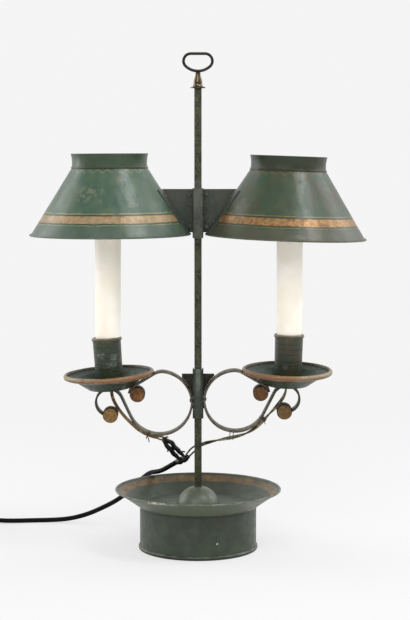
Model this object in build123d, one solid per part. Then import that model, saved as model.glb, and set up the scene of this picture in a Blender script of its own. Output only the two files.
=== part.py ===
"""Two-light bouillotte lamp in painted sheet iron: dish base, square rod, sliding arms and sliding shades.

Millimetres. The origin is on the table under the rod's axis, +Z is up, +X is the right-hand light
and +Y is the back. Each sub-part is written to parts/NODE.step.
"""
from build123d import *
from math import acos, asin, atan2, cos, degrees, hypot, pi, radians, sin, sqrt, tan
import os

# ---------------------------------------------------------------- driving dimensions
sheet = 0.8  # sheet iron of the base, shades and pans
slide_gap = 0.08  # running gap between the rod and what slides on it
seat_gap = 0.05  # between pieces that are riveted or pushed together
SIDES = {"left": -1, "right": 1}

# rod and what clamps it
rod_side = 7.6
rod_edge = 0.9
rod_top_z = 483.0
tenon_r = 3.5
tenon_drop = 33.0  # below the dish floor
nut_af = 11.0
nut_height = 5.6
washer_r = 13.0
washer_thick = 1.6

# base
drum_r = 61.5
dish_floor_z = 46.0
dish_flare = 26.0  # how far the lip stands out from the drum
lip_z = 64.0
lip_bead_r = 1.1
foot_proud = 1.4  # of the drum
foot_height = 4.2
foot_width = 3.6
bottom_plate_z = 1.0
dome_r = 23.2
dome_height = 20.0
ballast_gap = 3.7  # to the drum's wall
ballast_height = 22.0

# finial and ring handle
finial_flange_r = 7.8
finial_flange_thick = 1.8
finial_stud_r = 2.0
finial_stud_length = 10.0
finial_foot_r = 5.8
finial_neck_r = 2.7
finial_height = 16.15  # the turned body, above the rod
handle_wire_r = 1.5
handle_half_width = 14.9  # to the middle of the wire
handle_height = 17.8  # from middle to middle of the wire
handle_corner_r = 7.5

# slide carriers: a channel round the rod, closed behind by a plate, with a bowed leaf in front
channel_width = 11.3
channel_side_wall = 1.35
channel_front_wall = 1.1
leaf_thick = 0.7
leaf_bow = 1.7
leaf_width = 7.4
plate_thick = 1.2

# shades
shade_rim_r = 83.2
shade_rim_gap = 8.2  # from the rod's axis to the rim
shade_rim_z = 331.4
neck_r = 39.6
cone_height = 69.7
collar_height = 15.2
collar_waist_r = 39.0
collar_lip_r = 40.4
rim_bead_r = 1.0
shade_droop = {"left": 0.3, "right": 2.0}  # degrees, outer side down
shade_hinge_x = 7.0  # the inner rim, about which a shade droops

# shade carrier
shade_channel_z = (328.0, 380.0)
shade_leaf_z = (327.4, 388.4)
web_z = (333.8, 379.0)
flange_depth = 20.0  # how far the side flanges wrap forward round the cones
flange_thick = 1.0
flange_gap = 0.12
web_flange_reach = 5.0  # the channel's own side flanges, on the web

# arm carrier
arm_channel_z = (139.0, 191.2)
arm_leaf_z = (138.4, 195.4)
arm_plate_z = (148.0, 185.0)
arm_plate_half = 17.0

# scroll arms, in a frame at the ring's centre with +X outward: bent by hand, so the two differ a little
ring_outer_r = {"left": 34.7, "right": 33.6}
strip_thick = 2.0
strip_width = 12.0
shoulder_r = {"left": 16.0, "right": 16.0}  # the tighter bend from the ring's top to the upper roundel
shoulder_start = {"left": 103.0, "right": 96.0}
roundel_r = 8.0  # the turned drums that end each scroll
roundel_depth = 13.0
upper_roundel = {"left": (22.5, 11.2), "right": (26.0, 9.9)}
lower_roundel = {"left": (52.5, -8.9), "right": (51.9, -8.8)}
arch_centre = {"left": (52.7, 4.6), "right": (53.0, 4.8)}
arch_r = 14.0
arch_end = -64.0
wrap_start = 12.0
arm_droop = {"left": 4.1, "right": 2.7}  # degrees, outer end down
arm_nod = {"left": 3.2, "right": 4.6}  # degrees, top towards the front
ring_z = {"left": 154.8, "right": 157.1}

# drip pans, cups and candles, in a frame at the arch's centre
seat_lean = {"left": 0.6, "right": 1.5}  # degrees, turned back inward on the arch
pan_shift = {"left": -1.4, "right": 0.5}  # pan axis off the arch's centre
cup_shift = {"left": -0.4, "right": 0.8}  # cup axis off the pan's
pan_r = 47.3
pan_depth = 15.4
pan_floor_r = 22.5
pan_break_r = 36.0
pan_break_z = 9.8
pan_bead_r = 1.1
cup_height = 52.6
cup_foot_r = 14.2
cup_neck_r = 14.7
cup_lip_r = 15.3
cup_wall = 0.6
candle_r = 12.9
candle_wall = 1.2
candle_top_z = 338.0
candle_depth = 20.0  # inside the cup
candle_lean_in = {"left": 1.3, "right": -0.2}  # candle axis off the cup's mouth, towards the rod
holder_height = 27.0
holder_drop = 2.0
holder_bore_r = 7.4
bulb_cap_r = 7.0
bulb_cap_height = 23.0
bulb_r = 17.5
bulb_glass_height = 72.0
leg_width = 8.0
leg_thick = 1.2
lead_hole_r = 2.5
lead_hole_x = {"left": -2.0, "right": 0.9}
lead_hole_y = 8.8

# wiring
lead_d = 3.2
lead_step = 34.0  # between a lead's bends inside its candle
lead_rise = 24.0  # its last bend above the pan's floor
cord_d = 5.2
splice_d = 5.6
wrap_d = 9.6
cord_bend_share = 0.45

# the cord's table end
switch_size = (56.0, 28.0, 16.0)
switch_centre = (-286.0, 114.0)
switch_cord_z = 6.2
switch_split_z = 7.0
switch_wall = 1.6
switch_corner_r = 9.0
relief_length = 18.0
relief_r = 5.0
rocker_r = 8.4
rocker_width = 9.0
rocker_tilt = 7.0
rocker_gap = 0.4
rocker_pivot_z = 12.2
rocker_pin_r = 1.2
coil_centre = (-378.0, 75.0)
coil_layers = 2
coil_outer_r = 41.0
coil_inner_r = 19.6
coil_tie_thick = 0.8
coil_tie_width = 5.0
plug_back_x = -307.0
plug_y = 36.5
plug_length = 36.0
plug_width = 35.3
plug_thick = 13.7
plug_relief_length = 25.0
pin_r = 2.0
pin_length = 19.0
pin_pitch = 18.6

# ---------------------------------------------------------------- derived places
rod_half = rod_side / 2
plate_front_y = rod_half + slide_gap
leaf_inner_y = -(rod_half + slide_gap)
channel_inner_y = leaf_inner_y - leaf_bow - leaf_thick - seat_gap
channel_front_y = channel_inner_y - channel_front_wall
dish_under_z = dish_floor_z - sheet
lip_r = drum_r + dish_flare
foot_r = drum_r + foot_proud
ballast_r = drum_r - sheet - ballast_gap
shade_reach = shade_rim_r + shade_rim_gap  # rod axis to shade axis
seat_z = arch_r + strip_thick / 2  # the arch's top, where the pan sits
cup_top_z = seat_z + sheet + cup_height
rivet_room = 0.35  # a flat head on the inside of a bend
cone_slope = (shade_rim_r - neck_r) / cone_height
cone_angle = degrees(atan2(shade_rim_r - neck_r, cone_height))
coil_height = coil_layers * cord_d
finial_top_z = rod_top_z + finial_height
handle_bottom_z = finial_top_z + seat_gap + handle_wire_r
handle_top_z = handle_bottom_z + handle_height


def save(name, shape):
    """Writes one sub-part."""
    export_step(shape, f"parts/{name}.step")
    print(f"{name:18s} {shape.volume:12.1f} mm3")


def turned(*points):
    """A solid of revolution about Z from an (r, z) outline."""
    return revolve(make_face(Plane.XZ * Polyline(*points, close=True)), Axis.Z)


def ring_bead(r, z, bead_r):
    """A round bead about Z."""
    return Pos(0, 0, z) * Torus(r, bead_r)


def disc(r, z_low, z_high, x=0.0, y=0.0):
    """An upright cylinder between two heights."""
    return Pos(x, y, z_low) * Cylinder(r, z_high - z_low, align=(Align.CENTER, Align.CENTER, Align.MIN))


def block(x, y, z):
    """A box between three pairs of limits."""
    size = [high - low for low, high in (x, y, z)]
    return Pos(x[0], y[0], z[0]) * Box(*size, align=(Align.MIN, Align.MIN, Align.MIN))


def rivet(grip, shank_r, head_r, head_height):
    """A rivet along +Z: head below zero, shank through the grip, a smaller tail above it."""
    tail_r = head_r * 0.75
    tail_height = head_height * 0.7
    return turned((0, -head_height), (head_r * 0.6, -head_height), (head_r, -head_height * 0.35), (head_r, 0),
                  (shank_r, 0), (shank_r, grip), (tail_r, grip), (tail_r * 0.7, grip + tail_height),
                  (0, grip + tail_height))


def tube(points, diameter, bend_share=cord_bend_share):
    """A round tube on straight runs joined by tangent arcs as large as the runs allow."""
    corners = [Vector(*p) for p in points]
    runs = [b - a for a, b in zip(corners, corners[1:])]
    radii = []
    for before, after in zip(runs, runs[1:]):
        half_turn = radians(before.get_angle(after)) / 2
        radii.append(bend_share * min(before.length, after.length) / tan(half_turn))
    path = FilletPolyline(*corners, radius=radii)
    section = Plane(origin=corners[0], z_dir=runs[0]) * Circle(diameter / 2)
    solid = sweep(section, path=path)
    expected = pi * diameter**2 / 4 * path.length
    print(f"  tube {path.length:.0f} mm long, tightest arc {min(radii):.1f} mm,"
          f" volume {solid.volume / expected:.4f} of section x length")
    return solid


# ---------------------------------------------------------------- base and rod
def make_base():
    wall = turned((drum_r - sheet, foot_height / 2), (drum_r, foot_height / 2),
                  (drum_r, dish_under_z), (drum_r - sheet, dish_under_z))
    foot_in_r = foot_r - foot_width
    foot = turned((foot_in_r, 0), (foot_r, 0), (foot_r, foot_height), (foot_in_r, foot_height))
    outer_edges = foot.edges().filter_by(GeomType.CIRCLE).sort_by(SortBy.RADIUS)[-2:]
    foot = fillet(outer_edges, foot_width * 0.4)
    save("base_drum", wall + foot)

    wall_run = lip_r - lip_bead_r - drum_r
    wall_rise = lip_z - lip_bead_r - dish_under_z
    across = sheet * hypot(wall_run, wall_rise) / wall_rise
    hole_r = tenon_r + seat_gap
    dish = turned((hole_r, dish_under_z), (drum_r, dish_under_z), (lip_r - lip_bead_r, lip_z - lip_bead_r),
                  (lip_r - lip_bead_r - across, lip_z - lip_bead_r),
                  (drum_r - across + wall_run * sheet / wall_rise, dish_floor_z), (hole_r, dish_floor_z))
    dish = dish + ring_bead(lip_r - lip_bead_r, lip_z - lip_bead_r, lip_bead_r)
    save("base_dish", dish)

    ball_r = (dome_r**2 + dome_height**2) / (2 * dome_height)
    ball_z = dish_floor_z + dome_height - ball_r
    cap = Pos(0, 0, ball_z) * (Sphere(ball_r) - Sphere(ball_r - sheet))
    cap = cap & block((-lip_r, lip_r), (-lip_r, lip_r), (dish_floor_z, rod_top_z))
    hole_half = rod_half + 4 * seat_gap
    save("dome", cap - block((-hole_half, hole_half), (-hole_half, hole_half), (dish_floor_z, rod_top_z)))

    ballast = disc(ballast_r, dish_under_z - ballast_height, dish_under_z)
    ballast = chamfer(ballast.edges().group_by(Axis.Z)[0], 2.0)
    save("ballast", ballast - disc(tenon_r + seat_gap, 0, dish_floor_z))
    save("bottom_plate", disc(foot_in_r - seat_gap, bottom_plate_z, bottom_plate_z + sheet))

    washer_top = dish_under_z - ballast_height
    washer = disc(washer_r, washer_top - washer_thick, washer_top)
    save("rod_washer", washer - disc(tenon_r + seat_gap, 0, dish_floor_z))
    nut_top = washer_top - washer_thick
    hexagon = RegularPolygon(nut_af / 2, 6, major_radius=False)
    nut = Pos(0, 0, nut_top - nut_height) * extrude(hexagon, nut_height)
    save("rod_nut", nut - disc(tenon_r + seat_gap, 0, dish_floor_z))


def make_rod():
    bar = block((-rod_half, rod_half), (-rod_half, rod_half), (dish_floor_z, rod_top_z))
    bar = chamfer(bar.edges().filter_by(Axis.Z), rod_edge)
    tenon = disc(tenon_r, dish_floor_z - tenon_drop, dish_floor_z)
    stud_bore = disc(finial_stud_r + seat_gap, rod_top_z - finial_stud_length - 1, rod_top_z)
    save("rod", bar + tenon - stud_bore)


def make_finial():
    z = rod_top_z
    flange_top = z + finial_flange_thick
    rise = finial_top_z - flange_top
    fall = finial_foot_r - finial_neck_r
    bell_points = [(finial_foot_r - fall * across, flange_top + rise * up)
                   for across, up in ((0.35, 0.105), (0.42, 0.307), (0.61, 0.53), (0.90, 0.74), (1, 1))]
    with BuildSketch(Plane.XZ) as outline:
        with BuildLine():
            stud = Polyline((0, z - finial_stud_length), (finial_stud_r, z - finial_stud_length),
                            (finial_stud_r, z), (finial_flange_r - 0.4, z), (finial_flange_r, z + 0.6),
                            (finial_flange_r, flange_top - 0.5), (finial_foot_r, flange_top))
            bell = Spline(stud @ 1, *bell_points)
            Polyline(bell @ 1, (0, finial_top_z), (0, z - finial_stud_length))
        make_face()
    save("finial_baluster", revolve(outline.sketch, Axis.Z))

    # the ring handle: a flat top, two round corners and one wide arc below, all tangent
    corner_x = handle_half_width - handle_corner_r
    corner_z = handle_top_z - handle_corner_r
    drop = corner_z - handle_bottom_z
    below_r = (corner_x**2 + drop**2 - handle_corner_r**2) / (2 * (drop - handle_corner_r))
    below_z = handle_bottom_z + below_r
    lean = degrees(atan2(corner_x, below_z - corner_z))
    top = Line((-corner_x, handle_top_z), (corner_x, handle_top_z))
    right = CenterArc((corner_x, corner_z), handle_corner_r, 90, -(180 - lean))
    below = CenterArc((0, below_z), below_r, -90 + lean, -2 * lean)
    left = CenterArc((-corner_x, corner_z), handle_corner_r, 270 - lean, -(180 - lean))
    path = Plane.XZ * Wire([top, right, below, left])
    section = Plane(origin=(0, 0, handle_top_z), z_dir=(1, 0, 0)) * Circle(handle_wire_r)
    save("ring_handle", sweep(section, path=path))


# ---------------------------------------------------------------- slide carriers
def channel(z, flange_reach=0.0):
    """The channel that wraps the rod's front and sides, with optional flanges on the plate."""
    half = channel_width / 2
    inner = half - channel_side_wall
    body = block((-half, half), (channel_front_y, plate_front_y), z)
    body = body - block((-inner, inner), (channel_inner_y, plate_front_y), z)
    front = body.edges().filter_by(Axis.Z).group_by(Axis.Y)[0]
    body = chamfer(front, 1.1)
    for side in (-1, 1):
        if flange_reach:
            reach = sorted((side * half, side * (half + flange_reach)))
            body = body + block(reach, (plate_front_y - 1.0, plate_front_y), (web_z[0] + 0.6, web_z[1] - 0.6))
    return body


def leaf(z):
    """The bowed leaf: its ends bear on the rod and its middle on the channel's front wall."""
    middle = (z[0] + z[1]) / 2
    inner_y = leaf_inner_y
    profile = make_face(
        Plane.YZ * (ThreePointArc((inner_y, z[0]), (inner_y - leaf_bow, middle), (inner_y, z[1])).edge()
                    + Line((inner_y, z[1]), (inner_y - leaf_thick, z[1])).edge()
                    + ThreePointArc((inner_y - leaf_thick, z[1]), (inner_y - leaf_thick - leaf_bow, middle),
                                    (inner_y - leaf_thick, z[0])).edge()
                    + Line((inner_y - leaf_thick, z[0]), (inner_y, z[0])).edge()))
    strip = Pos(-leaf_width / 2, 0, 0) * extrude(profile, leaf_width, dir=(1, 0, 0))
    return chamfer(strip.edges().filter_by(Axis.Y).group_by(Axis.Z)[-1], 1.2)


def shade_cutter(grow):
    """The solid cone of one shade, grown outward square to its surface, in the shade's own frame."""
    across = grow / cos(radians(cone_angle))
    return turned((0, -5), (shade_rim_r + 5 * cone_slope + across, -5), (neck_r + across, cone_height),
                  (0, cone_height))


def place_shade(shape, side):
    """From the shade's own frame, at the middle of its rim, to its drooped place."""
    sign = SIDES[side]
    moved = Pos(sign * shade_reach, 0, shade_rim_z) * shape
    return moved.rotate(Axis((sign * shade_hinge_x, 0, shade_rim_z), (0, 1, 0)), sign * shade_droop[side])


def cone_rivet_plane(side, height, turn):
    """A plane on a flange's face, looking into the cone, at a height and a turn towards the front."""
    sign = SIDES[side]
    r = shade_rim_r - cone_slope * height + (flange_gap + flange_thick) / cos(radians(cone_angle))
    a = radians(turn)
    slope = radians(cone_angle)
    place = (-sign * r * cos(a), -r * sin(a), height)
    inward = (sign * cos(a) * cos(slope), sin(a) * cos(slope), -sin(slope))
    return Plane(origin=place, z_dir=inward)


web_rivets = ((-8.6, 372.5), (8.6, 372.5), (-8.6, 339.0), (8.6, 339.0))
cone_rivets = ((40.5, 9.0), (13.5, 6.5))
rivet_shank_r = 1.1
rivet_head_r = 1.9
rivet_head_height = 0.9


def make_shade_carrier():
    grip = 1.0 + plate_thick
    web_holes = [Pos(x, plate_front_y - 1.5, z) * Rot(-90, 0, 0)
                 * Cylinder(rivet_shank_r + seat_gap, 6, align=(Align.CENTER, Align.CENTER, Align.MIN))
                 for x, z in web_rivets]
    body = channel(shade_channel_z, web_flange_reach)
    for side in SIDES:
        body = body - place_shade(shade_cutter(flange_gap + flange_thick + seat_gap), side)
    save("shade_channel", body - web_holes)
    save("shade_leaf", leaf(shade_leaf_z))

    web_half = shade_reach - neck_r
    plate = block((-web_half, web_half), (plate_front_y, plate_front_y + plate_thick), web_z)
    rivets = [Pos(x, plate_front_y - 1.0, z) * Rot(-90, 0, 0)
              * rivet(grip, rivet_shank_r, rivet_head_r, rivet_head_height) for x, z in web_rivets]
    for side, sign in SIDES.items():
        plate = plate - place_shade(shade_cutter(flange_gap), side)
    for side, sign in SIDES.items():
        shell = shade_cutter(flange_gap + flange_thick) - shade_cutter(flange_gap)
        x_limits = sorted((-sign * shade_rim_r * 1.1, -sign * neck_r * 0.6))
        low, high = web_z[0] - shade_rim_z, web_z[1] - shade_rim_z
        shell = shell & block(x_limits, (-flange_depth, plate_front_y + plate_thick), (low, high))
        plate = plate + place_shade(shell, side)
        for height, turn in cone_rivets:
            plane = cone_rivet_plane(side, height, turn)
            hole = plane * Pos(0, 0, -2) * Cylinder(rivet_shank_r + seat_gap, 8,
                                                     align=(Align.CENTER, Align.CENTER, Align.MIN))
            plate = plate - place_shade(hole, side)
            grip_cone = flange_thick + flange_gap + sheet + 3 * seat_gap
            one = rivet(grip_cone, rivet_shank_r, rivet_head_r, rivet_head_height)
            rivets.append(place_shade(plane * Pos(0, 0, -2 * seat_gap) * one, side))
    save("shade_plate", plate - web_holes)
    save("shade_rivets", Compound(rivets))


def make_shade(side):
    wall = sheet / cos(radians(cone_angle))
    cone = turned((shade_rim_r, 0), (neck_r, cone_height), (neck_r - wall, cone_height),
                  (shade_rim_r - wall, 0))
    cone = cone + ring_bead(shade_rim_r, rim_bead_r * 0.9, rim_bead_r)
    for height, turn in cone_rivets:
        plane = cone_rivet_plane(side, height, turn)
        cone = cone - plane * Pos(0, 0, -2) * Cylinder(rivet_shank_r + seat_gap, 8,
                                                        align=(Align.CENTER, Align.CENTER, Align.MIN))
    save(f"{side}_shade_cone", place_shade(cone, side))

    top = cone_height + collar_height
    with BuildSketch(Plane.XZ) as outline:
        with BuildLine():
            outside = Polyline((neck_r - 2 * sheet, cone_height), (neck_r + 0.5, cone_height),
                               (neck_r + 0.5, cone_height + 1.2), (collar_waist_r + 0.2, cone_height + 2.0))
            flare = Spline(outside @ 1, (collar_waist_r, cone_height + collar_height * 0.55),
                           (collar_lip_r - 0.3, top - 0.6))
            lip = ThreePointArc(flare @ 1, (collar_lip_r - 0.6, top), (collar_lip_r - 1.1, top - 0.5))
            Polyline(lip @ 1, (collar_waist_r - sheet, cone_height + collar_height * 0.55),
                     (collar_waist_r - sheet, cone_height + 1.2), (neck_r - 2 * sheet, cone_height))
        make_face()
    save(f"{side}_shade_collar", place_shade(revolve(outline.sketch, Axis.Z), side))


# ---------------------------------------------------------------- scroll arms
def ring_x(side):
    """How far a ring's centre is from the rod's axis."""
    return channel_width / 2 + ring_outer_r[side] + seat_gap


def place_arm(shape, side):
    """From the arm's frame, at its ring's centre with +X outward, to its drooped and nodding place."""
    if SIDES[side] < 0:
        shape = mirror(shape, Plane.YZ)
    shape = shape.rotate(Axis.Y, SIDES[side] * arm_droop[side]).rotate(Axis.X, arm_nod[side])
    return Pos(SIDES[side] * ring_x(side), 0, ring_z[side]) * shape


def place_seat(shape, side):
    """From the pan's frame, at the arch's centre and turned back on the arch, to its place."""
    centre_x, centre_z = arch_centre[side]
    return place_arm(Pos(centre_x, 0, centre_z) * Rot(0, -seat_lean[side], 0) * shape, side)


def seat_point(side, x, y, z):
    """The same move for one point."""
    lean, droop, nod = (radians(a[side]) for a in (seat_lean, arm_droop, arm_nod))
    out = arch_centre[side][0] + x * cos(lean) - z * sin(lean)
    up = arch_centre[side][1] + z * cos(lean) + x * sin(lean)
    out, up = out * cos(droop) + up * sin(droop), up * cos(droop) - out * sin(droop)
    back, up = y * cos(nod) - up * sin(nod), up * cos(nod) + y * sin(nod)
    return (SIDES[side] * (ring_x(side) + out), back, ring_z[side] + up)


def on_circle(centre, r, angle):
    """A point on a circle, by its angle in degrees."""
    return (centre[0] + r * cos(radians(angle)), centre[1] + r * sin(radians(angle)))


def scroll_path(side):
    """The strip's middle line: round the upper roundel, the shoulder and the ring, then up over the arch."""
    wrap_r = roundel_r + strip_thick / 2 + seat_gap
    ring_r = ring_outer_r[side] - strip_thick / 2
    bend_r = shoulder_r[side]
    upper, arch = upper_roundel[side], arch_centre[side]
    bend = on_circle((0, 0), ring_r - bend_r, shoulder_start[side])
    run, rise = upper[0] - bend[0], upper[1] - bend[1]
    off_bend = degrees(atan2(rise, run) + acos((bend_r - wrap_r) / hypot(run, rise)))
    climb = degrees(atan2(arch[1], arch[0]) + asin((ring_r + arch_r) / hypot(*arch)))
    wrap = CenterArc(upper, wrap_r, wrap_start, off_bend - wrap_start)
    slope = Line(on_circle(upper, wrap_r, off_bend), on_circle(bend, bend_r, off_bend))
    shoulder = CenterArc(bend, bend_r, off_bend, shoulder_start[side] - off_bend)
    ring = CenterArc((0, 0), ring_r, shoulder_start[side], 270 + climb - shoulder_start[side])
    straight = Line(on_circle((0, 0), ring_r, climb - 90), on_circle(arch, arch_r, climb + 90))
    over = CenterArc(arch, arch_r, climb + 90, arch_end - climb - 90)
    return Plane.XZ * Wire([wrap, slope, shoulder, ring, straight, over])


ring_rivet_r = 1.2
seat_rivet_r = 1.6
seat_rivet_grip = strip_thick + rivet_room + sheet + leg_thick + 3 * seat_gap


def ring_hole(side):
    """The rivet's hole through the ring and the channel, in the arm's frame."""
    hole = Cylinder(ring_rivet_r + seat_gap, 6 * strip_thick)
    return Pos(-ring_outer_r[side], 0, 0) * Rot(0, 90, 0) * hole


def make_arm(side):
    path = scroll_path(side)
    start = Plane(origin=path @ 0, z_dir=path % 0, x_dir=(0, 1, 0))
    strip = sweep(start * Rectangle(strip_width, strip_thick), path=path)
    roundels = []
    for x, z in (upper_roundel[side], lower_roundel[side]):
        centre = Pos(x, 0, z) * Rot(90, 0, 0)
        strip = strip - centre * Cylinder(roundel_r + seat_gap, 3 * roundel_depth)
        drum = Cylinder(roundel_r, roundel_depth)
        drum = chamfer(drum.edges().filter_by(GeomType.CIRCLE), 0.5)
        roundels.append(place_arm(centre * drum, side))
    strip = place_arm(strip - ring_hole(side), side)
    strip = strip - place_seat(disc(seat_rivet_r + seat_gap, 0, seat_z + 1), side)
    save(f"{side}_scroll", strip)
    save(f"{side}_roundels", Compound(roundels))
    head_z = seat_z - strip_thick - rivet_room
    return place_seat(Pos(0, 0, head_z) * rivet(seat_rivet_grip, seat_rivet_r, 2.6, 1.1), side)


def make_pan_and_cup(side):
    x = pan_shift[side]
    z = seat_z + seat_gap
    across = sheet * 1.12
    lip_mid_r = pan_r - pan_bead_r
    lip_mid_z = z + pan_depth - pan_bead_r
    pan = turned((0, z), (pan_floor_r, z), (pan_break_r, z + pan_break_z), (lip_mid_r, lip_mid_z - 0.45),
                 (lip_mid_r, lip_mid_z + 0.55), (pan_break_r - 0.6, z + pan_break_z + across),
                 (pan_floor_r - 0.5, z + sheet), (0, z + sheet))
    pan = Pos(x, 0, 0) * (pan + ring_bead(lip_mid_r, lip_mid_z, pan_bead_r))
    pan = pan - disc(seat_rivet_r + seat_gap, 0, z + 2)
    pan = pan - disc(lead_hole_r, 0, z + 2, x=lead_hole_x[side], y=lead_hole_y)
    save(f"{side}_pan", place_seat(pan, side))

    low, top = z + sheet, z + sheet + cup_height
    with BuildSketch(Plane.XZ) as outline:
        with BuildLine():
            Polyline((cup_foot_r - cup_wall, low), (cup_foot_r, low), (cup_neck_r, top - 4.0),
                     (cup_neck_r + 0.1, top - 2.2), (cup_lip_r, top - 1.4), (cup_lip_r, top - 0.5),
                     (cup_lip_r - 0.4, top), (cup_neck_r, top), (cup_neck_r - 0.1, top - 1.6),
                     (cup_neck_r - cup_wall, top - 4.0), (cup_foot_r - cup_wall, low), close=True)
        make_face()
    cup = revolve(outline.sketch, Axis.Z)
    for share in (0.40, 0.62):
        r = cup_foot_r + (cup_neck_r - cup_foot_r) * share
        cup = cup - ring_bead(r + 0.2, low + cup_height * share, 0.35)
    save(f"{side}_cup", place_seat(Pos(x + cup_shift[side], 0, 0) * cup, side))


def candle_frame(side):
    """The candle's frame: at the cup's mouth, upright in front view, nodding with its arm."""
    mouth_x, mouth_y, mouth_z = seat_point(side, pan_shift[side] + cup_shift[side], 0, cup_top_z)
    place = (mouth_x - SIDES[side] * candle_lean_in[side], mouth_y, mouth_z)
    return Pos(*place) * Rot(arm_nod[side], 0, 0)


def candle_top(side):
    """The candle's top, up its own frame from the cup's mouth."""
    return (candle_top_z - candle_frame(side).position.Z) / cos(radians(arm_nod[side]))


def make_light(side):
    frame = candle_frame(side)
    top = candle_top(side)
    bore_r = candle_r - candle_wall
    candle = disc(candle_r, -candle_depth, top) - disc(bore_r, -candle_depth - 1, top + 1)
    candle = chamfer(candle.edges().group_by(Axis.Z)[-1], 0.4)
    save(f"{side}_candle", frame * candle)

    holder_r = bore_r - 4 * seat_gap
    holder_top = top - holder_drop
    holder_low = holder_top - holder_height
    holder = disc(holder_r, holder_low, holder_top) - disc(holder_bore_r, holder_low + 3, holder_top + 1)
    save(f"{side}_lampholder", frame * holder)

    # the leg stands at the front of the candle's bore and its foot is riveted to the pan's floor
    floor = seat_z + sheet + 2 * seat_gap
    leg = block((-leg_width / 2, leg_width / 2), (-holder_r + 2.0, -holder_r + 2.0 + leg_thick),
                (-cup_height - 2, holder_low))
    below = place_seat(block((-pan_r, pan_r), (-pan_r, pan_r), (-pan_r, floor)), side)
    foot = block((-leg_width / 2, leg_width / 2), (-holder_r + 1.5, 5.0), (floor, floor + leg_thick))
    foot = foot - disc(seat_rivet_r + seat_gap, floor - 2, floor + 4)
    save(f"{side}_holder_leg", (frame * leg - below) + place_seat(foot, side))

    cap = disc(bulb_cap_r, holder_low + 3.4, holder_low + 3.4 + bulb_cap_height)
    glass_low = holder_low + 3.4 + bulb_cap_height
    save(f"{side}_bulb_cap", frame * chamfer(cap.edges().group_by(Axis.Z)[0], 1.5))
    with BuildSketch(Plane.XZ) as outline:
        with BuildLine():
            foot_point = (bulb_cap_r - 0.2, glass_low)
            flame = [(bulb_r * across, glass_low + bulb_glass_height * up)
                     for across, up in ((0.78, 0.22), (1, 0.45), (0.62, 0.78), (0, 1))]
            side_line = Spline(foot_point, *flame, tangents=((0.35, 1), (-1, 0.15)))
            Polyline(side_line @ 1, (0, glass_low), foot_point)
        make_face()
    save(f"{side}_bulb_glass", frame * revolve(outline.sketch, Axis.Z))


def make_arm_carrier():
    body = channel(arm_channel_z)
    rivets = []
    behind = (plate_front_y, plate_front_y + plate_thick)
    plate = block((-arm_plate_half, arm_plate_half), behind, arm_plate_z)
    grip = strip_thick + 3 * seat_gap + channel_side_wall
    for side in SIDES:
        ring_disc = Rot(90, 0, 0) * Cylinder(ring_outer_r[side] + 2 * seat_gap, 6 * strip_width)
        plate = plate - place_arm(ring_disc, side)
        body = body - place_arm(ring_hole(side), side)
        one = turned((0, -1.0), (1.3, -1.0), (2.1, -0.4), (2.1, 0), (ring_rivet_r, 0),
                     (ring_rivet_r, grip), (0, grip))
        one = Pos(-(ring_outer_r[side] - strip_thick) + 2 * seat_gap, 0, 0) * Rot(0, -90, 0) * one
        rivets.append(place_arm(one, side))
    save("arm_channel", body)
    save("arm_leaf", leaf(arm_leaf_z))
    save("arm_plate", plate)
    save("arm_rivets", Compound(rivets))


def tie(side, angle, reach, band, name):
    """A flat loop round the strip and the lead under it, at an angle round the ring."""
    wall = 0.5
    inside = (ring_outer_r[side] - strip_thick - 0.1, ring_outer_r[side] + reach)
    half = strip_width / 2 + 0.1
    loop = block((inside[0] - wall, inside[1] + wall), (-half - wall, half + wall), (-band / 2, band / 2))
    loop = loop - block(inside, (-half, half), (-band, band))
    save(name, place_arm(Rot(0, -angle, 0) * loop, side))


# ---------------------------------------------------------------- wiring
left_lead_points = ((-91.3, 8.8, 162.4), (-89.4, 8.4, 156.0), (-85.6, 9.0, 148.8), (-79.8, 7.4, 141.2),
                    (-71.8, 2.8, 133.6), (-62.4, 1.3, 125.1), (-51.4, 1.4, 119.3), (-41.8, 3.4, 116.8),
                    (-34.6, 7.0, 115.0))
right_lead_points = ((92.6, 9.0, 165.2), (90.2, 9.0, 159.2), (86.0, 9.0, 153.2), (80.8, 8.6, 147.0),
                     (74.6, 5.6, 141.4), (66.0, 2.0, 132.0), (54.0, 1.2, 122.8), (40.4, 2.6, 118.2),
                     (27.4, 5.8, 115.2), (15.6, 9.4, 112.2), (4.4, 14.0, 108.4), (-4.8, 18.4, 102.4),
                     (-11.0, 22.4, 94.8), (-14.6, 25.2, 90.0))
upper_splice_points = ((-37.4, 5.4, 116.4), (-29.2, 9.2, 112.2), (-22.8, 15.0, 103.4), (-15.4, 23.4, 93.6))
lower_splice_points = ((-37.8, 6.4, 114.6), (-32.8, 10.8, 107.2), (-26.8, 17.2, 97.9), (-18.8, 25.2, 89.4))
wrap_ends = ((-11.6, 23.4, 92.2), (-25.0, 32.4, 84.8))
cord_rise_points = ((-23.0, 31.0, 85.9), (-33.0, 44.6, 80.2), (-41.0, 58.6, 75.4), (-46.8, 69.0, 73.2))
cord_run_points = ((-52.8, 79.4, 71.8), (-62.0, 91.0, 61.8), (-74.2, 99.6, 46.4), (-89.6, 106.4, 31.4),
                   (-107.2, 112.8, 19.0), (-125.6, 117.6, 10.0), (-145.0, 120.6, 4.4), (-165.0, 121.4, 2.7),
                   (-186.0, 120.0, 2.65), (-207.0, 117.2, 2.7), (-225.0, 115.0, 3.4), (-240.0, 114.0, 6.2))
cord_link_points = ((-332.0, 114.0, 6.2), (-344.0, 114.4, 4.8), (-358.0, 114.6, 3.8), (-374.0, 113.6, 3.4))
cord_end_points = ((-386.0, 37.0, 8.9), (-370.0, 36.2, 8.6), (-351.0, 36.3, 7.4), (-331.0, 36.5, 6.85))


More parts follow.
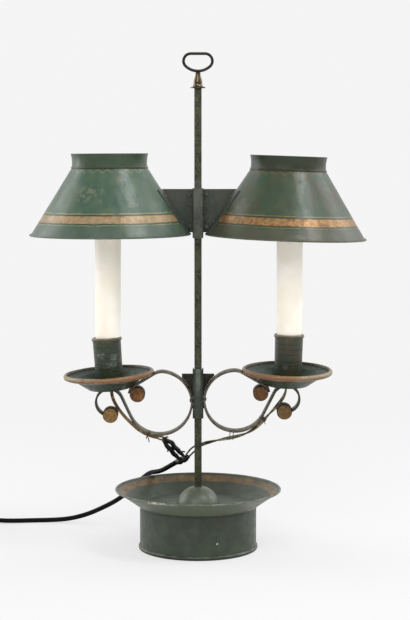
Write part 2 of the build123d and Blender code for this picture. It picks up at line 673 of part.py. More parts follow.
def make_lead(side, points, holder_low):
    """A twin lead: down inside the candle and the cup, out by the pan's hole and along the strip."""
    frame = candle_frame(side)
    hole_x = lead_hole_x[side]
    inside = [(frame * Pos(x, y, holder_low - drop)).position
              for x, y, drop in ((0, 2.0, -0.5), (0.8, 3.6, lead_step), (-0.8, 5.2, 2 * lead_step))]
    inside += [Vector(*seat_point(side, hole_x - 0.6, 7.6, seat_z + lead_rise)),
               Vector(*seat_point(side, hole_x, lead_hole_y + 0.1, seat_z - 4))]
    return tube(inside + [Vector(*p) for p in points], lead_d)


def make_wiring():
    start, end = Vector(*wrap_ends[0]), Vector(*wrap_ends[1])
    along = end - start
    wrap = Plane(origin=start, z_dir=along) * turned(
        (0, 0), (wrap_d * 0.34, 0), (wrap_d * 0.5, 3.0), (wrap_d * 0.46, along.length * 0.6),
        (wrap_d * 0.33, along.length), (0, along.length))
    splices = tube(upper_splice_points, splice_d) + tube(lower_splice_points, splice_d) - wrap
    for side, points in (("left", left_lead_points), ("right", right_lead_points)):
        holder_low = candle_top(side) - holder_drop - holder_height
        holder_block = candle_frame(side) * disc(candle_r, holder_low, holder_low + 20)
        lead = make_lead(side, points, holder_low) - holder_block
        save(f"{side}_lead", lead - splices - wrap)
    save("wire_splices", splices)
    save("junction_wrap", wrap)
    tie("left", -66.0, 6.4, 1.6, "left_tie")
    tie("right", -93.5, 9.6, 1.2, "right_loop_tie")
    tie("right", -31.0, 6.4, 3.0, "right_tape_tie")
    return wrap


def make_cord(wrap):
    # the cord is cut over the rim, where it stops moving with the arms
    route = tube(cord_rise_points + cord_run_points, cord_d)
    a, b = Vector(*cord_rise_points[-1]), Vector(*cord_run_points[0])
    over_rim = Plane(origin=(a + b) / 2, z_dir=b - a)
    save("cord_rise", split(route - wrap, bisect_by=over_rim, keep=Keep.BOTTOM))
    save("cord_run", split(route, bisect_by=over_rim, keep=Keep.TOP))

    low = coil_tie_thick
    bundle = turned((coil_inner_r, low), (coil_outer_r, low), (coil_outer_r, low + coil_height),
                    (coil_inner_r, low + coil_height))
    bundle = Pos(*coil_centre) * fillet(bundle.edges().filter_by(GeomType.CIRCLE), cord_d * 0.45)
    save("cord_coil", bundle)
    core = Pos(*coil_centre) * disc(coil_outer_r - 2, 0, 2 * coil_height)
    save("cord_link", tube(cord_link_points, cord_d) - bundle - core)
    end_core = Pos(plug_back_x - plug_relief_length, plug_y, plug_thick / 2) * Rot(0, 90, 0) * disc(
        relief_r * 2, 0, plug_relief_length)
    save("cord_end", tube(cord_end_points, cord_d) - bundle - core - end_core)

    half = coil_tie_width / 2
    t = coil_tie_thick
    x_limits = (-coil_outer_r - seat_gap, -sqrt(coil_inner_r**2 - (half + t)**2) + seat_gap)
    z_limits = (low, low + coil_height + seat_gap)
    band = block((x_limits[0] - t, x_limits[1] + t), (-half, half), (z_limits[0] - t, z_limits[1] + t))
    save("coil_tie", Pos(*coil_centre) * (band - block(x_limits, (-coil_outer_r, coil_outer_r), z_limits)))


def make_switch():
    length, width, height = switch_size
    x, y = switch_centre
    case = Pos(0, 0, height / 2) * Box(length, width, height)
    case = fillet(case.edges().filter_by(Axis.Z), switch_corner_r)
    case = fillet(case.edges().group_by(Axis.Z)[-1], 3.0)
    inside = [size - 2 * switch_wall for size in switch_size]
    hollow = Pos(0, 0, height / 2) * Box(*inside)
    hollow = fillet(hollow.edges().filter_by(Axis.Z), switch_corner_r - switch_wall)
    shell = case - hollow
    big = length
    lower = shell & block((-big, big), (-big, big), (0, switch_split_z))
    upper = shell & block((-big, big), (-big, big), (switch_split_z, height + 1))
    for sign in (-1, 1):
        entry = Pos(sign * length / 2, 0, switch_cord_z) * Rot(0, 90, 0) * Cylinder(cord_d / 2 + 0.6, 12)
        lower, upper = lower - entry, upper - entry
    slot_half = rocker_r + rocker_gap
    slot = block((-slot_half, slot_half), (-rocker_width / 2 - rocker_gap, rocker_width / 2 + rocker_gap),
                 (switch_split_z, height + 1))
    upper = upper - slot
    ear_y = rocker_width / 2 + rocker_gap
    for sign in (-1, 1):
        limits = sorted((sign * ear_y, sign * (ear_y + 2.0)))
        upper = upper + block((-3.2, 3.2), limits, (rocker_pivot_z - 3.0, height - switch_wall))
    pivot = Pos(0, 0, rocker_pivot_z) * Rot(90, 0, 0)
    upper = upper - pivot * Cylinder(rocker_pin_r + 0.07, 2 * (ear_y + 1.6))
    save("switch_base", Pos(x, y, 0) * lower)
    save("switch_cover", Pos(x, y, 0) * upper)

    roof = height - rocker_pivot_z
    shape = make_face(Plane.XZ * Polyline((-12, -3.2), (12, -3.2), (12, roof + 1.6), (0, roof + 0.4),
                                          (-12, roof + 1.6), close=True))
    rocker = Pos(0, rocker_width / 2, 0) * extrude(shape, rocker_width, dir=(0, -1, 0))
    rocker = rocker & (Rot(90, 0, 0) * Cylinder(rocker_r, rocker_width))
    rocker = rocker + Rot(90, 0, 0) * Cylinder(rocker_pin_r, 2 * (ear_y + 1.4))
    save("switch_rocker", Pos(x, y, rocker_pivot_z) * Rot(0, -rocker_tilt, 0) * rocker)

    reliefs = []
    bore = cord_d / 2 + 0.02
    for sign in (-1, 1):
        taper = turned((bore, 0), (relief_r, 0), (cord_d / 2 + 1.0, relief_length), (bore, relief_length))
        reliefs.append(Pos(x + sign * length / 2, y, switch_cord_z) * Rot(0, sign * 90, 0) * taper)
    save("switch_reliefs", Compound(reliefs))


def make_plug():
    half_w = plug_width / 2
    z = plug_thick / 2
    back, front = plug_back_x, plug_back_x + plug_length
    half = [(back, 7), (back + 14, half_w), (front - 4, half_w), (front, half_w - 4)]
    sides = [(x, plug_y - y) for x, y in half] + [(x, plug_y + y) for x, y in reversed(half)]
    outline = make_face(Polyline(*sides, close=True))
    body = extrude(outline, plug_thick)
    body = fillet(body.edges().group_by(Axis.Z)[-1] + body.edges().group_by(Axis.Z)[0], 2.6)
    taper = turned((cord_d / 2 + 1.2, -plug_relief_length), (z - 1.4, 0), (z - 1.4, 4), (0, 4),
                   (0, -plug_relief_length))
    body = body + Pos(back, plug_y, z) * Rot(0, 90, 0) * taper
    pins = []
    for sign in (-1, 1):
        pin = Cylinder(pin_r, pin_length, align=(Align.CENTER, Align.CENTER, Align.MIN))
        pin = fillet(pin.edges().group_by(Axis.Z)[-1], 1.2)
        pins.append(Pos(front, plug_y + sign * pin_pitch / 2, z) * Rot(0, 90, 0) * pin)
    save("plug_body", body)
    save("plug_pins", Compound(pins))


def main():
    os.makedirs("parts", exist_ok=True)
    make_base()
    make_rod()
    make_finial()
    make_shade_carrier()
    make_arm_carrier()
    save("seat_rivets", Compound([make_arm(side) for side in SIDES]))
    for side in SIDES:
        make_shade(side)
        make_pan_and_cup(side)
        make_light(side)
    make_cord(make_wiring())
    make_switch()
    make_plug()


main()
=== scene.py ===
import math
import random

import bpy
from mathutils import Matrix, Vector


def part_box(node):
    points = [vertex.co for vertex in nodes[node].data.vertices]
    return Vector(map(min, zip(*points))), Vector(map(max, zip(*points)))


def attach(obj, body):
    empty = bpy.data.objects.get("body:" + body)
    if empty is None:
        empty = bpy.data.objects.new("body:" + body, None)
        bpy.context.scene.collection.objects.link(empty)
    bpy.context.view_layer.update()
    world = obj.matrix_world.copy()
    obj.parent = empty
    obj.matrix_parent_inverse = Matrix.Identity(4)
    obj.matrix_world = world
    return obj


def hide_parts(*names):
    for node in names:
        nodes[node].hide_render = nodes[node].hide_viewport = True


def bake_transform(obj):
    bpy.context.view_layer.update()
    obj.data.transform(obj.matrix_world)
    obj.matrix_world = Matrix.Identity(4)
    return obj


# A two-light bouillotte lamp in worn green paint. Lengths here are in mm, and mm() turns them to metres.
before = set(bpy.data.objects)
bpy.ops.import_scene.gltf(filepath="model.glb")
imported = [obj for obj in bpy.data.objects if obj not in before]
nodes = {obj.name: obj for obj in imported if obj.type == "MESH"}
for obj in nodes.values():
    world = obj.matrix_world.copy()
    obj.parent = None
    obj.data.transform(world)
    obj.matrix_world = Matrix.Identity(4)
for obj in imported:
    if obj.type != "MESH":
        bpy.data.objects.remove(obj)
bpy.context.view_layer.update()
sides = {"left": -1, "right": 1}


def turnX(angle):
    return Matrix.Rotation(math.radians(angle), 4, "X")


def turnY(angle):
    return Matrix.Rotation(math.radians(angle), 4, "Y")


def mm(*values):
    return Vector(values) * 0.001


def inScene(name, data):
    obj = bpy.data.objects.new(name, data)
    bpy.context.scene.collection.objects.link(obj)
    return obj


def paint(text):  # "#rrggbb" as linear light
    parts = [int(text[i:i + 2], 16) / 255 for i in (1, 3, 5)]
    return tuple(((p + 0.055) / 1.055) ** 2.4 if p > 0.04045 else p / 12.92 for p in parts) + (1.0,)


# The camera stands where a person sits at the table.
camera = {"place": mm(7.3, -1777, 419.4), "pitchDown": 5.36, "focalPixels": 1705, "imageHeight": 620,
          "sensor": 36, "clip": (0.05, 50)}


def makeCamera():
    data = bpy.data.cameras.new("camera")
    data.sensor_width = camera["sensor"]
    data.lens = camera["focalPixels"] / camera["imageHeight"] * camera["sensor"]
    data.clip_start, data.clip_end = camera["clip"]
    obj = inScene("camera", data)
    obj.matrix_world = Matrix.Translation(camera["place"]) @ turnX(90 - camera["pitchDown"])
    bpy.context.scene.camera = obj


makeCamera()
print("camera made")


class Finish:  # a material built node by node
    def __init__(self, name, roughness=0.5, metallic=0.0, specular=0.5):
        self.material = bpy.data.materials.new(name)
        self.material.use_nodes = True
        self.tree = self.material.node_tree
        self.surface = self.tree.nodes["Principled BSDF"]
        self.surface.inputs["Roughness"].default_value = roughness
        self.surface.inputs["Metallic"].default_value = metallic
        self.surface.inputs["Specular IOR Level"].default_value = specular
        self.body = None  # the colour so far, one coat over another
        source = self.add("ShaderNodeTexCoord")
        self.place, self.facing = source.outputs["Object"], source.outputs["Normal"]

    def add(self, kind, inputs=None, **settings):
        node = self.tree.nodes.new(kind)
        for key, value in settings.items():
            setattr(node, key, value)
        for key, value in (inputs or {}).items():
            if isinstance(value, bpy.types.NodeSocket):
                self.tree.links.new(value, node.inputs[key])
            else:
                node.inputs[key].default_value = value
        return node

    def moved(self, matrix):  # coordinates in a piece's own frame, in mm
        inverse = matrix.inverted()
        node = self.add("ShaderNodeMapping", {"Vector": self.place, "Scale": (1000, 1000, 1000),
                                              "Location": inverse.to_translation() * 1000,
                                              "Rotation": inverse.to_euler()})
        return node.outputs[0]

    def stretched(self, place, scale):
        return self.add("ShaderNodeMapping", {"Vector": place, "Scale": scale}).outputs[0]

    def noise(self, place, size, detail=4.0, rough=0.55):  # size of its patches, in mm
        return self.add("ShaderNodeTexNoise", {"Vector": place, "Scale": 1 / size, "Detail": detail,
                                               "Roughness": rough}).outputs["Fac"]

    def span(self, value, low, high, toLow=0.0, toHigh=1.0):
        return self.add("ShaderNodeMapRange", {0: value, 1: low, 2: high, 3: toLow, 4: toHigh},
                        interpolation_type="SMOOTHSTEP").outputs[0]

    def math(self, operation, a, b=0.0):
        return self.add("ShaderNodeMath", {0: a, 1: b}, operation=operation).outputs[0]

    def both(self, a, b):
        return self.math("MULTIPLY", a, b)

    def either(self, a, b):
        return self.math("MAXIMUM", a, b)

    def stripe(self, value, low, high, soft):  # 1 between two values
        above = self.span(value, low - soft, low + soft)
        return self.both(above, self.span(value, high - soft, high + soft, 1, 0))

    def wavering(self, value, place, size, reach, detail=4.0):  # a line as a hand paints it
        return self.math("ADD", value, self.span(self.noise(place, size, detail), 0.2, 0.8, -reach, reach))

    def mix(self, factor, a, b):
        a, b = (paint(x) if isinstance(x, str) else x for x in (a, b))
        return self.add("ShaderNodeMix", {0: factor, 6: a, 7: b}, data_type="RGBA").outputs[2]

    def axes(self, place):
        return self.add("ShaderNodeSeparateXYZ", {0: place}).outputs[:3]

    def radius(self, x, y):  # distance from the upright axis
        return self.math("SQRT", self.math("ADD", self.both(x, x), self.both(y, y)))

    def spot(self, x, z, centre, reach):  # 1 in the middle of an ellipse, 0 past its edge
        across = self.math("DIVIDE", self.math("SUBTRACT", x, centre[0]), reach[0])
        up = self.math("DIVIDE", self.math("SUBTRACT", z, centre[1]), reach[1])
        square = self.math("ADD", self.both(across, across), self.both(up, up))
        return self.span(square, 0.1, 1.0, 1.0, 0.0)

    def lay(self, share, colour):  # one more coat
        self.body = self.mix(share, self.body, colour)

    def mark(self, x, z, where, spots, colour):  # worn places, and on the base one painted highlight: centre, reach and strength of each
        for centre, reach, strength in spots:
            spot = self.both(self.spot(x, z, centre, reach), where)
            self.lay(self.both(spot, strength), colour)

    def colour(self):
        self.tree.links.new(self.body, self.surface.inputs["Base Color"])

    def bump(self, height, distance):  # distance in mm
        node = self.add("ShaderNodeBump", {"Height": height, "Distance": distance * 0.001})
        before = self.surface.inputs["Normal"].links
        if before:
            self.tree.links.new(before[0].from_socket, node.inputs["Normal"])
        self.tree.links.new(node.outputs[0], self.surface.inputs["Normal"])

    def bumps(self, place, *layers):  # each layer: size of its lumps, their height, detail
        for size, height, *detail in layers:
            self.bump(self.noise(place, size, *detail), height)

    def cover(self, place, rough, *layers):  # colour, roughness (patch size, limits, detail) and bumps
        size, low, high, *detail = rough
        patches = self.span(self.noise(place, size, *detail), 0.3, 0.7, low, high)
        self.tree.links.new(patches, self.surface.inputs["Roughness"])
        self.colour()
        self.bumps(place, *layers)
        return self

    def mottle(self, place, colours, sizes):  # patches of several paints
        blend = colours[0]
        for paintColour, size in zip(colours[1:], sizes):
            blend = self.mix(self.span(self.noise(place, size), 0.36, 0.68), blend, paintColour)
        return blend


def dress(finish, *names):
    for name in names:
        materials = nodes[name].data.materials
        materials.clear()
        materials.append(finish.material)


def ownMm(finish):  # the lamp's own coordinates, in mm
    return finish.moved(Matrix.Identity(4))


# The smooth line of a cord, and the tubes that follow it.
lineSteps = 6  # to each given point


def followed(name, points):
    data = bpy.data.curves.new(name, "CURVE")
    data.dimensions = "3D"
    data.resolution_u = lineSteps
    spline = data.splines.new("NURBS")
    spline.points.add(len(points) - 1)
    for target, point in zip(spline.points, points):
        target.co = (*point, 1.0)
    spline.order_u = 3
    spline.use_endpoint_u = True
    holder = bpy.data.objects.new(name, data)
    mesh = bpy.data.meshes.new_from_object(holder)
    path = [v.co.copy() for v in mesh.vertices]
    bpy.data.objects.remove(holder)
    bpy.data.meshes.remove(mesh)
    return path


def carried(path):  # point, along, across, up and distance, with no twist
    rows, across, distance = [], None, 0.0
    for i, point in enumerate(path):
        along = (path[min(i + 1, len(path) - 1)] - path[max(i - 1, 0)]).normalized()
        if across is None:
            across = along.orthogonal().normalized()
        else:
            across = (across - along * across.dot(along)).normalized()
            distance += (point - path[i - 1]).length
        rows.append((point, along, across, along.cross(across), distance))
    return rows


def ringFaces(rings, around, closed=True, flipped=False):  # quads from each ring of vertices to the next
    faces = []
    for i in range(rings if closed else rings - 1):
        here, there = i * around, (i + 1) % rings * around
        for k in range(around):
            n = (k + 1) % around
            loop = (here + k, here + n, there + n, there + k)
            faces.append((loop[0], loop[3], loop[2], loop[1]) if flipped else loop)
    return faces


def tubeShape(rows, radiusAt, around=8, centreAt=None, closed=False):
    vertices = []
    for point, along, across, up, distance in rows:
        centre = point + centreAt(across, up, distance) if centreAt else point
        for k in range(around):
            angle = 2 * math.pi * k / around
            out = across * math.cos(angle) + up * math.sin(angle)
            vertices.append(centre + out * radiusAt(distance, angle))
    faces = ringFaces(len(rows), around, closed)
    if not closed:
        faces.append(tuple(reversed(range(around))))
        faces.append(tuple(range(len(vertices) - around, len(vertices))))
    return vertices, faces


def join(shapes):
    vertices, faces = [], []
    for more, loops in shapes:
        faces += [tuple(i + len(vertices) for i in loop) for loop in loops]
        vertices += more
    return vertices, faces


def meshPiece(name, shape, finish, body=None):
    data = bpy.data.meshes.new(name)
    data.from_pydata([tuple(v) for v in shape[0]], [], shape[1])
    data.polygons.foreach_set("use_smooth", [len(loop) < 5 for loop in shape[1]])
    data.materials.append(finish.material)
    obj = inScene(name, data)
    if body:
        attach(obj, body)
    return obj


# The flex: from the taped joint over the dish's rim to the table, the switch, the coil and the plug.
flex = {"diameter": 5.2, "length": 1.8, "black": "#070708", "dust": "#131314",
        "rise": ((-23.0, 31.0, 85.9), (-32.6, 44.6, 77.9), (-40.4, 58.2, 71.2), (-46.8, 69.0, 67.9)),
        "run": ((-53.4, 79.4, 65.2), (-62.6, 90.4, 56.4), (-74.2, 99.0, 43.6), (-89.6, 106.4, 29.4),
                (-107.2, 112.8, 19.0), (-125.6, 117.6, 10.0), (-145.0, 120.6, 4.4), (-165.0, 121.4, 2.7),
                (-186.0, 120.0, 2.65), (-207.0, 117.2, 2.7), (-225.0, 115.0, 3.4), (-240.0, 114.0, 6.2)),
        "inSwitch": ((-262.0, 114.0, 6.2), (-286.0, 114.0, 5.4), (-310.0, 114.0, 6.2)),
        "link": ((-332.0, 114.0, 6.2), (-344.0, 114.4, 4.8), (-358.0, 114.6, 3.8), (-369.0, 114.2, 3.4)),
        "end": ((-386.0, 36.8, 8.8), (-370.0, 36.2, 8.6), (-351.0, 36.3, 7.4), (-331.0, 36.5, 6.85),
                (-310.0, 36.5, 6.85)),
        "coilCentre": (-378.0, 75.0), "coilTurns": (38.1, 32.9, 27.7, 22.5, 22.5, 27.7, 32.9, 38.1),
        "turnsWound": 7.5, "coilFloor": 3.4, "stepsPerTurn": 16, "jogSteps": 4, "climbDent": 1.5,
        "lineInset": 0.985, "around": 14,
        "carries": ("switch_base", "switch_cover", "switch_rocker", "switch_reliefs", "coil_tie", "plug_body",
                    "plug_pins")}


def coilPoints():  # four turns inward on the table, then back outward on top of them
    turns, steps, jog = flex["coilTurns"], flex["stepsPerTurn"], flex["jogSteps"]
    x, y = flex["coilCentre"]
    last, inner = len(turns) - 1, len(turns) // 2 - 1
    points = []
    for step in range(1, int(steps * flex["turnsWound"]) - 1):
        turn, part = divmod(step, steps)
        slide = max(0.0, (part - (steps - jog)) / jog) if turn < last else 0.0
        r = turns[turn] + (turns[min(turn + 1, last)] - turns[turn]) * slide
        climb = slide if turn == inner else float(turn > inner)
        if turn == inner:
            r -= flex["climbDent"] * math.sin(math.pi * slide)
        r /= flex["lineInset"]  # the smooth line runs a little inside its points
        angle = math.radians(90) + 2 * math.pi * step / steps
        points.append((x + r * math.cos(angle), y + r * math.sin(angle),
                       flex["coilFloor"] + flex["diameter"] * climb))
    return points


def flexFinish():
    made = Finish("blackFlex", specular=0.1)
    place = ownMm(made)
    made.body = made.mix(made.span(made.noise(place, 3.0, 5), 0.5, 0.75), flex["black"], flex["dust"])
    return made.cover(place, (1.2, 0.46, 0.64), (0.8, 0.03))


def makeFlex():
    route = [mm(*p) for p in flex["rise"] + flex["run"] + flex["inSwitch"] + flex["link"]]
    route += [mm(*p) for p in coilPoints()] + [mm(*p) for p in flex["end"]]
    path = followed("flexLine", route)
    r = flex["diameter"] / 2000
    shape = tubeShape(carried(path), lambda distance, angle: r, flex["around"])
    obj = meshPiece("flex", shape, flexFinish())
    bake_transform(obj)
    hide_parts("cord_rise", "cord_run", "cord_link", "cord_coil", "cord_end")


makeFlex()
print("flex made")


# The twin leads from the lights: two wires laid round each other, which part where they meet the flex.
leads = {
    "diameter": 3.2, "wireRadius": 0.95, "strandGap": 1.03,
    "left": {
        "points": ((-94.4, -6.7, 308.8), (-93.6, -3.0, 274.6), (-95.1, 0.4, 240.6), (-92.8, 6.0, 187.0),
                   (-91.9, 8.2, 172.0), (-91.3, 8.8, 162.4), (-89.4, 8.4, 156.0), (-85.6, 9.0, 148.8),
                   (-79.8, 7.4, 141.2), (-71.8, 2.8, 133.6), (-62.4, 1.3, 125.1), (-51.4, 1.4, 119.3),
                   (-41.8, 3.4, 116.8), (-34.6, 7.0, 115.0)),
        "lay": 600.0, "start": 0.45, "parts": 9.0, "gap": 0.7,
        "dark": "#443426", "body": "#7b6344", "worn": "#a58b64"},
    "right": {
        "points": ((95.4, -10.3, 308.8), (96.1, -5.7, 275.0), (94.5, -1.1, 241.0), (93.4, 6.0, 187.0),
                   (93.5, 7.7, 174.0), (92.6, 9.0, 165.2), (90.2, 9.0, 159.2), (86.0, 9.0, 153.2),
                   (80.8, 8.6, 147.0), (74.6, 5.6, 141.4), (66.0, 2.0, 132.0), (54.0, 1.2, 122.8),
                   (40.4, 2.6, 118.2), (27.4, 5.8, 115.2), (15.6, 9.4, 112.2), (4.4, 14.0, 108.4),
                   (-4.8, 18.4, 102.4), (-11.0, 22.4, 94.8), (-14.6, 25.2, 90.0)),
        "lay": 66.0, "start": 0.5, "parts": 27.0, "gap": 1.3,
        "dark": "#2c2418", "body": "#5e543b", "worn": "#a39c74"}}


def leadFinish(side):
    look = leads[side]
    made = Finish(side + "Wire", specular=0.35)
    place = ownMm(made)
    x = made.axes(place)[0]
    made.body = made.mix(made.span(made.noise(place, 9.0, 2), 0.46, 0.66), look["body"], look["worn"])
    made.lay(made.span(made.noise(place, 4.0, 3), 0.52, 0.7, 0, 0.7), look["dark"])
    # painted shade: the lead is made darker where it passes behind the rod
    made.lay(made.span(made.math("ABSOLUTE", x), 8, 18, 0.9, 0), look["dark"])
    return made.cover(place, (1.0, 0.3, 0.46), (0.7, 0.03))


def makeLead(side):
    look = leads[side]
    points = [mm(*p) for p in look["points"]]
    path = followed(side + "LeadLine", points)
    rows = carried(path)
    total = rows[-1][4]
    wire, parts = leads["wireRadius"] / 1000, total - look["parts"] / 1000
    turns = round(parts * 1000 / look["lay"])
    depth = Vector((0, 1, 0))
    flat = []  # the strands' turns are counted from the level
    for point, along, across, up, distance in rows:
        level = along.cross(depth).normalized()
        flat.append((point, along, level, along.cross(level), distance))

    def strand(way):
        def centreAt(across, up, distance):
            share = min(1.0, max(0.0, (distance - parts) / (total - parts)))
            angle = 2 * math.pi * turns * min(1.0, distance / parts) + look["start"] * (1 - share)
            parting = look["gap"] / 1000 * math.sin(math.pi * share ** 0.8) ** 0.8
            reach = way * (wire * leads["strandGap"] + parting)
            return across * (reach * math.cos(angle)) + up * (reach * math.sin(angle))
        return tubeShape(flat, lambda distance, angle: wire, centreAt=centreAt)

    obj = meshPiece(side + "Lead", join([strand(1), strand(-1)]), leadFinish(side), "arm_carrier")
    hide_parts(side + "_lead")


# The taped joints: tape wound round each bundle of wires, in steps that overlap.
joints = {"upper": ((-37.4, 5.4, 116.4), (-29.2, 9.2, 112.2), (-22.8, 15.0, 103.4), (-15.4, 23.4, 93.6)),
          "lower": ((-37.8, 6.4, 114.6), (-32.8, 10.8, 107.2), (-26.8, 17.2, 97.9), (-18.8, 25.2, 89.4)),
          "wrap": ((-9.6, 21.8, 93.4), (-13.2, 24.6, 91.2), (-18.6, 28.4, 88.2), (-26.4, 34.6, 84.0)),
          "spindle": 2.75, "wrapReach": 3.7, "tapeStep": 3.6, "overlap": 0.07, "lumps": 12, "lumpLength": 0.09,
          "lumpHeight": 0.55, "lumpAt": (0.1, 0.9), "lumpSize": (0.15, 0.42), "around": 20,
          "black": "#070707", "grey": "#171615", "stub": 0.75,
          "stubs": (((-19.5, 20.6, 98.4), (-16.6, 19.0, 99.8), (-13.9, 18.6, 98.9)),
                    ((-12.6, 24.0, 93.0), (-9.8, 23.6, 92.6), (-8.4, 23.0, 94.2)),
                    ((-14.8, 25.4, 90.6), (-12.4, 25.0, 88.8), (-10.6, 25.2, 89.0)),
                    ((-30.4, 12.6, 104.6), (-32.6, 12.0, 102.2), (-32.2, 12.4, 100.2)),
                    ((-36.4, 5.8, 115.8), (-34.0, 6.2, 117.4), (-31.6, 7.0, 117.0)))}


def tapeFinish():
    made = Finish("blackTape")
    place = ownMm(made)
    made.body = made.mix(made.span(made.noise(place, 2.0, 6), 0.52, 0.7), joints["black"], joints["grey"])
    return made.cover(place, (1.6, 0.26, 0.6), (1.4, 0.25, 6))


def wound(name, points, reach, thinEnds, seed):
    rows = carried(followed(name, [mm(*p) for p in points]))
    total = rows[-1][4]
    dice = random.Random(seed)
    lumps = [(dice.uniform(*joints["lumpAt"]), dice.uniform(0, 6.28), dice.uniform(*joints["lumpSize"]))
             for lump in range(joints["lumps"])]

    def radiusAt(distance, angle):
        share = distance / total
        swell = thinEnds + (1 - thinEnds) * math.sin(math.pi * min(1, max(0, share))) ** 0.6
        step = (distance / (joints["tapeStep"] / 1000) + angle / (2 * math.pi)) % 1.0
        bulge = sum(size * math.exp(-((share - at) / joints["lumpLength"]) ** 2) * math.cos(angle - to)
                    for at, to, size in lumps)
        return reach / 1000 * (swell * (1 + joints["lumpHeight"] * bulge) - joints["overlap"] * step)
    return tubeShape(rows, radiusAt, joints["around"])


def makeJoints():
    finish = tapeFinish()
    parts = [wound("upperJointLine", joints["upper"], joints["spindle"], thinEnds=0.5, seed=3),
             wound("lowerJointLine", joints["lower"], joints["spindle"], thinEnds=0.45, seed=8)]
    for k, stub in enumerate(joints["stubs"]):  # loose ends of tape and wire
        rows = carried(followed("stub" + str(k), [mm(*p) for p in stub]))
        parts.append(tubeShape(rows, lambda distance, angle: joints["stub"] / 1000))
    obj = meshPiece("tapedJoints", join(parts), finish, "arm_carrier")
    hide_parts("wire_splices")
    wrap = wound("flexTapeLine", joints["wrap"], joints["wrapReach"], thinEnds=0.42, seed=5)
    obj = meshPiece("flexTape", wrap, finish, "arm_carrier")
    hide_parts("junction_wrap")


# Thin ties that hold the leads to the strips; reach is half their height, shift how far they stand out.
ties = {"left_tie": {"wire": 0.62, "loops": 1, "gap": 0.0, "reach": 3.9, "shift": -0.5, "angle": 246.0,
                     "tail": ((0.4, -6.2, -2.4), (0.9, -6.6, -4.6), (1.3, -6.3, -7.2)),
                     "colour": "#100e0b", "slot": "tape_black"},
        "right_loop_tie": {"wire": 0.28, "loops": 2, "gap": 3.4, "reach": 5.4, "shift": -0.4, "angle": 266.5,
                           "tail": (), "colour": "#5f5b50", "slot": "wire_tie"},
        "right_tape_tie": {"wire": 0.45, "loops": 4, "gap": 0.7, "reach": 3.3, "shift": -0.9, "angle": 329.0,
                           "tail": ((0.8, -6.2, -2.2), (1.9, -6.7, -3.2), (2.2, -6.5, -5.2)),
                           "colour": "#4d4122", "slot": "tape_olive"}}
tieShape = {"steps": 28, "halfDepth": 6.3, "square": 0.45, "tail": 0.8, "dark": "#0d0c0a"}


def loopShape(centre, half, lean, wire, along):  # square-shouldered, as it is pulled round the strip
    count, square = tieShape["steps"], tieShape["square"]
    points, rows = [], []
    for k in range(count):
        angle = 2 * math.pi * k / count
        y = half[1] * math.copysign(abs(math.cos(angle)) ** square, math.cos(angle))
        r = half[0] * math.copysign(abs(math.sin(angle)) ** square, math.sin(angle))
        points.append(centre + Vector((lean[0] * r + lean[1] * along, y, lean[1] * r - lean[0] * along)))
    side = Vector((lean[1], 0, -lean[0]))
    for i, point in enumerate(points):
        direction = (points[(i + 1) % count] - points[i - 1]).normalized()
        rows.append((point, direction, side, direction.cross(side), 0.0))
    return tubeShape(rows, lambda distance, angle: wire, closed=True)


def tieFinish(name, look):
    made = Finish(name.replace("_", "") + "Finish")
    place = ownMm(made)
    made.body = made.mix(made.noise(place, 1.5), look["colour"], tieShape["dark"])
    made.colour()
    made.bumps(place, (0.5, 0.06))
    return made


def makeTies():
    for name, look in ties.items():
        low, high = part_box(name)
        angle = math.radians(look["angle"])  # round the ring, seen from the front
        lean = (math.cos(angle), math.sin(angle))  # out from the ring
        centre = (low + high) / 2 + Vector((lean[0], 0, lean[1])) * look["shift"] / 1000
        half, wire = (look["reach"] / 1000, tieShape["halfDepth"] / 1000), look["wire"] / 1000
        shapes = []
        for k in range(look["loops"]):
            along = (k - (look["loops"] - 1) / 2) * look["gap"] / 1000
            shapes.append(loopShape(centre, half, lean, wire, along))
        if look["tail"]:
            path = followed(name + "Tail", [centre + mm(*p) for p in look["tail"]])
            shapes.append(tubeShape(carried(path), lambda distance, angle: wire * tieShape["tail"]))
        obj = meshPiece(name.replace("_", "") + "Loops", join(shapes), tieFinish(name, look), "arm_carrier")
        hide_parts(name)


for side in sides:
    makeLead(side)
makeJoints()
makeTies()
print("leads, tape and ties made")


# Shades: satin paint with a gilt band between two fine lines, and a wavy line under the neck. Droop is how far
# a shade hangs down, in degrees, and loose is how freely its wave is drawn.
shades = {"reach": 91.4, "rim": 331.4, "hingeX": 7.0, "band": (15.1, 22.2), "leastGilt": 0.7,
          "lines": ((12.7, 13.4), (24.0, 25.0)), "shadows": ((13.6, 15.1), (22.2, 23.9)),
          "wave": (65.2, 2.7), "waves": 13, "waveHalf": 0.5, "seam": (69.0, 70.4), "neck": 70.0,
          "left": {"droop": 0.3, "shine": 0.15, "loose": 0.5,
                   "paints": ("#304c3b", "#3b4f37", "#2a4738", "#415440"),
                   "gilt": ("#8c7450", "#845f3e", "#907f60"), "line": "#858058", "waveColour": "#6c6f4d",
                   "skirt": "#4b504a", "neckPaint": "#303f2b",
                   "scuffs": (((-16, 47), (17, 8), 0.8), ((-24, 40), (9, 6), 0.8), ((12, 58), (4, 6), 0.75),
                              ((27, 33), (8, 4), 0.7), ((34, 16), (9, 4), 0.5), ((-8, 37), (4, 3), 0.6))},
          "right": {"droop": 2.0, "shine": 0.35, "loose": 1.3,
                    "paints": ("#2a3826", "#3a2c1e", "#213c27", "#353f27"),
                    "gilt": ("#7c5a36", "#644126", "#947345"), "line": "#6a613b", "waveColour": "#5d4a2f",
                    "skirt": "#4e4639", "neckPaint": "#262b1b",
                    "scuffs": (((12, 5), (9, 3), 0.5), ((-50, 30), (10, 20), 0.3))},
          "dirt": "#1f1d15", "seamColour": "#33251d", "scuff": "#6a6a55", "fleck": "#6d7366",
          "rimWearAndHighlight": "#67665a"}


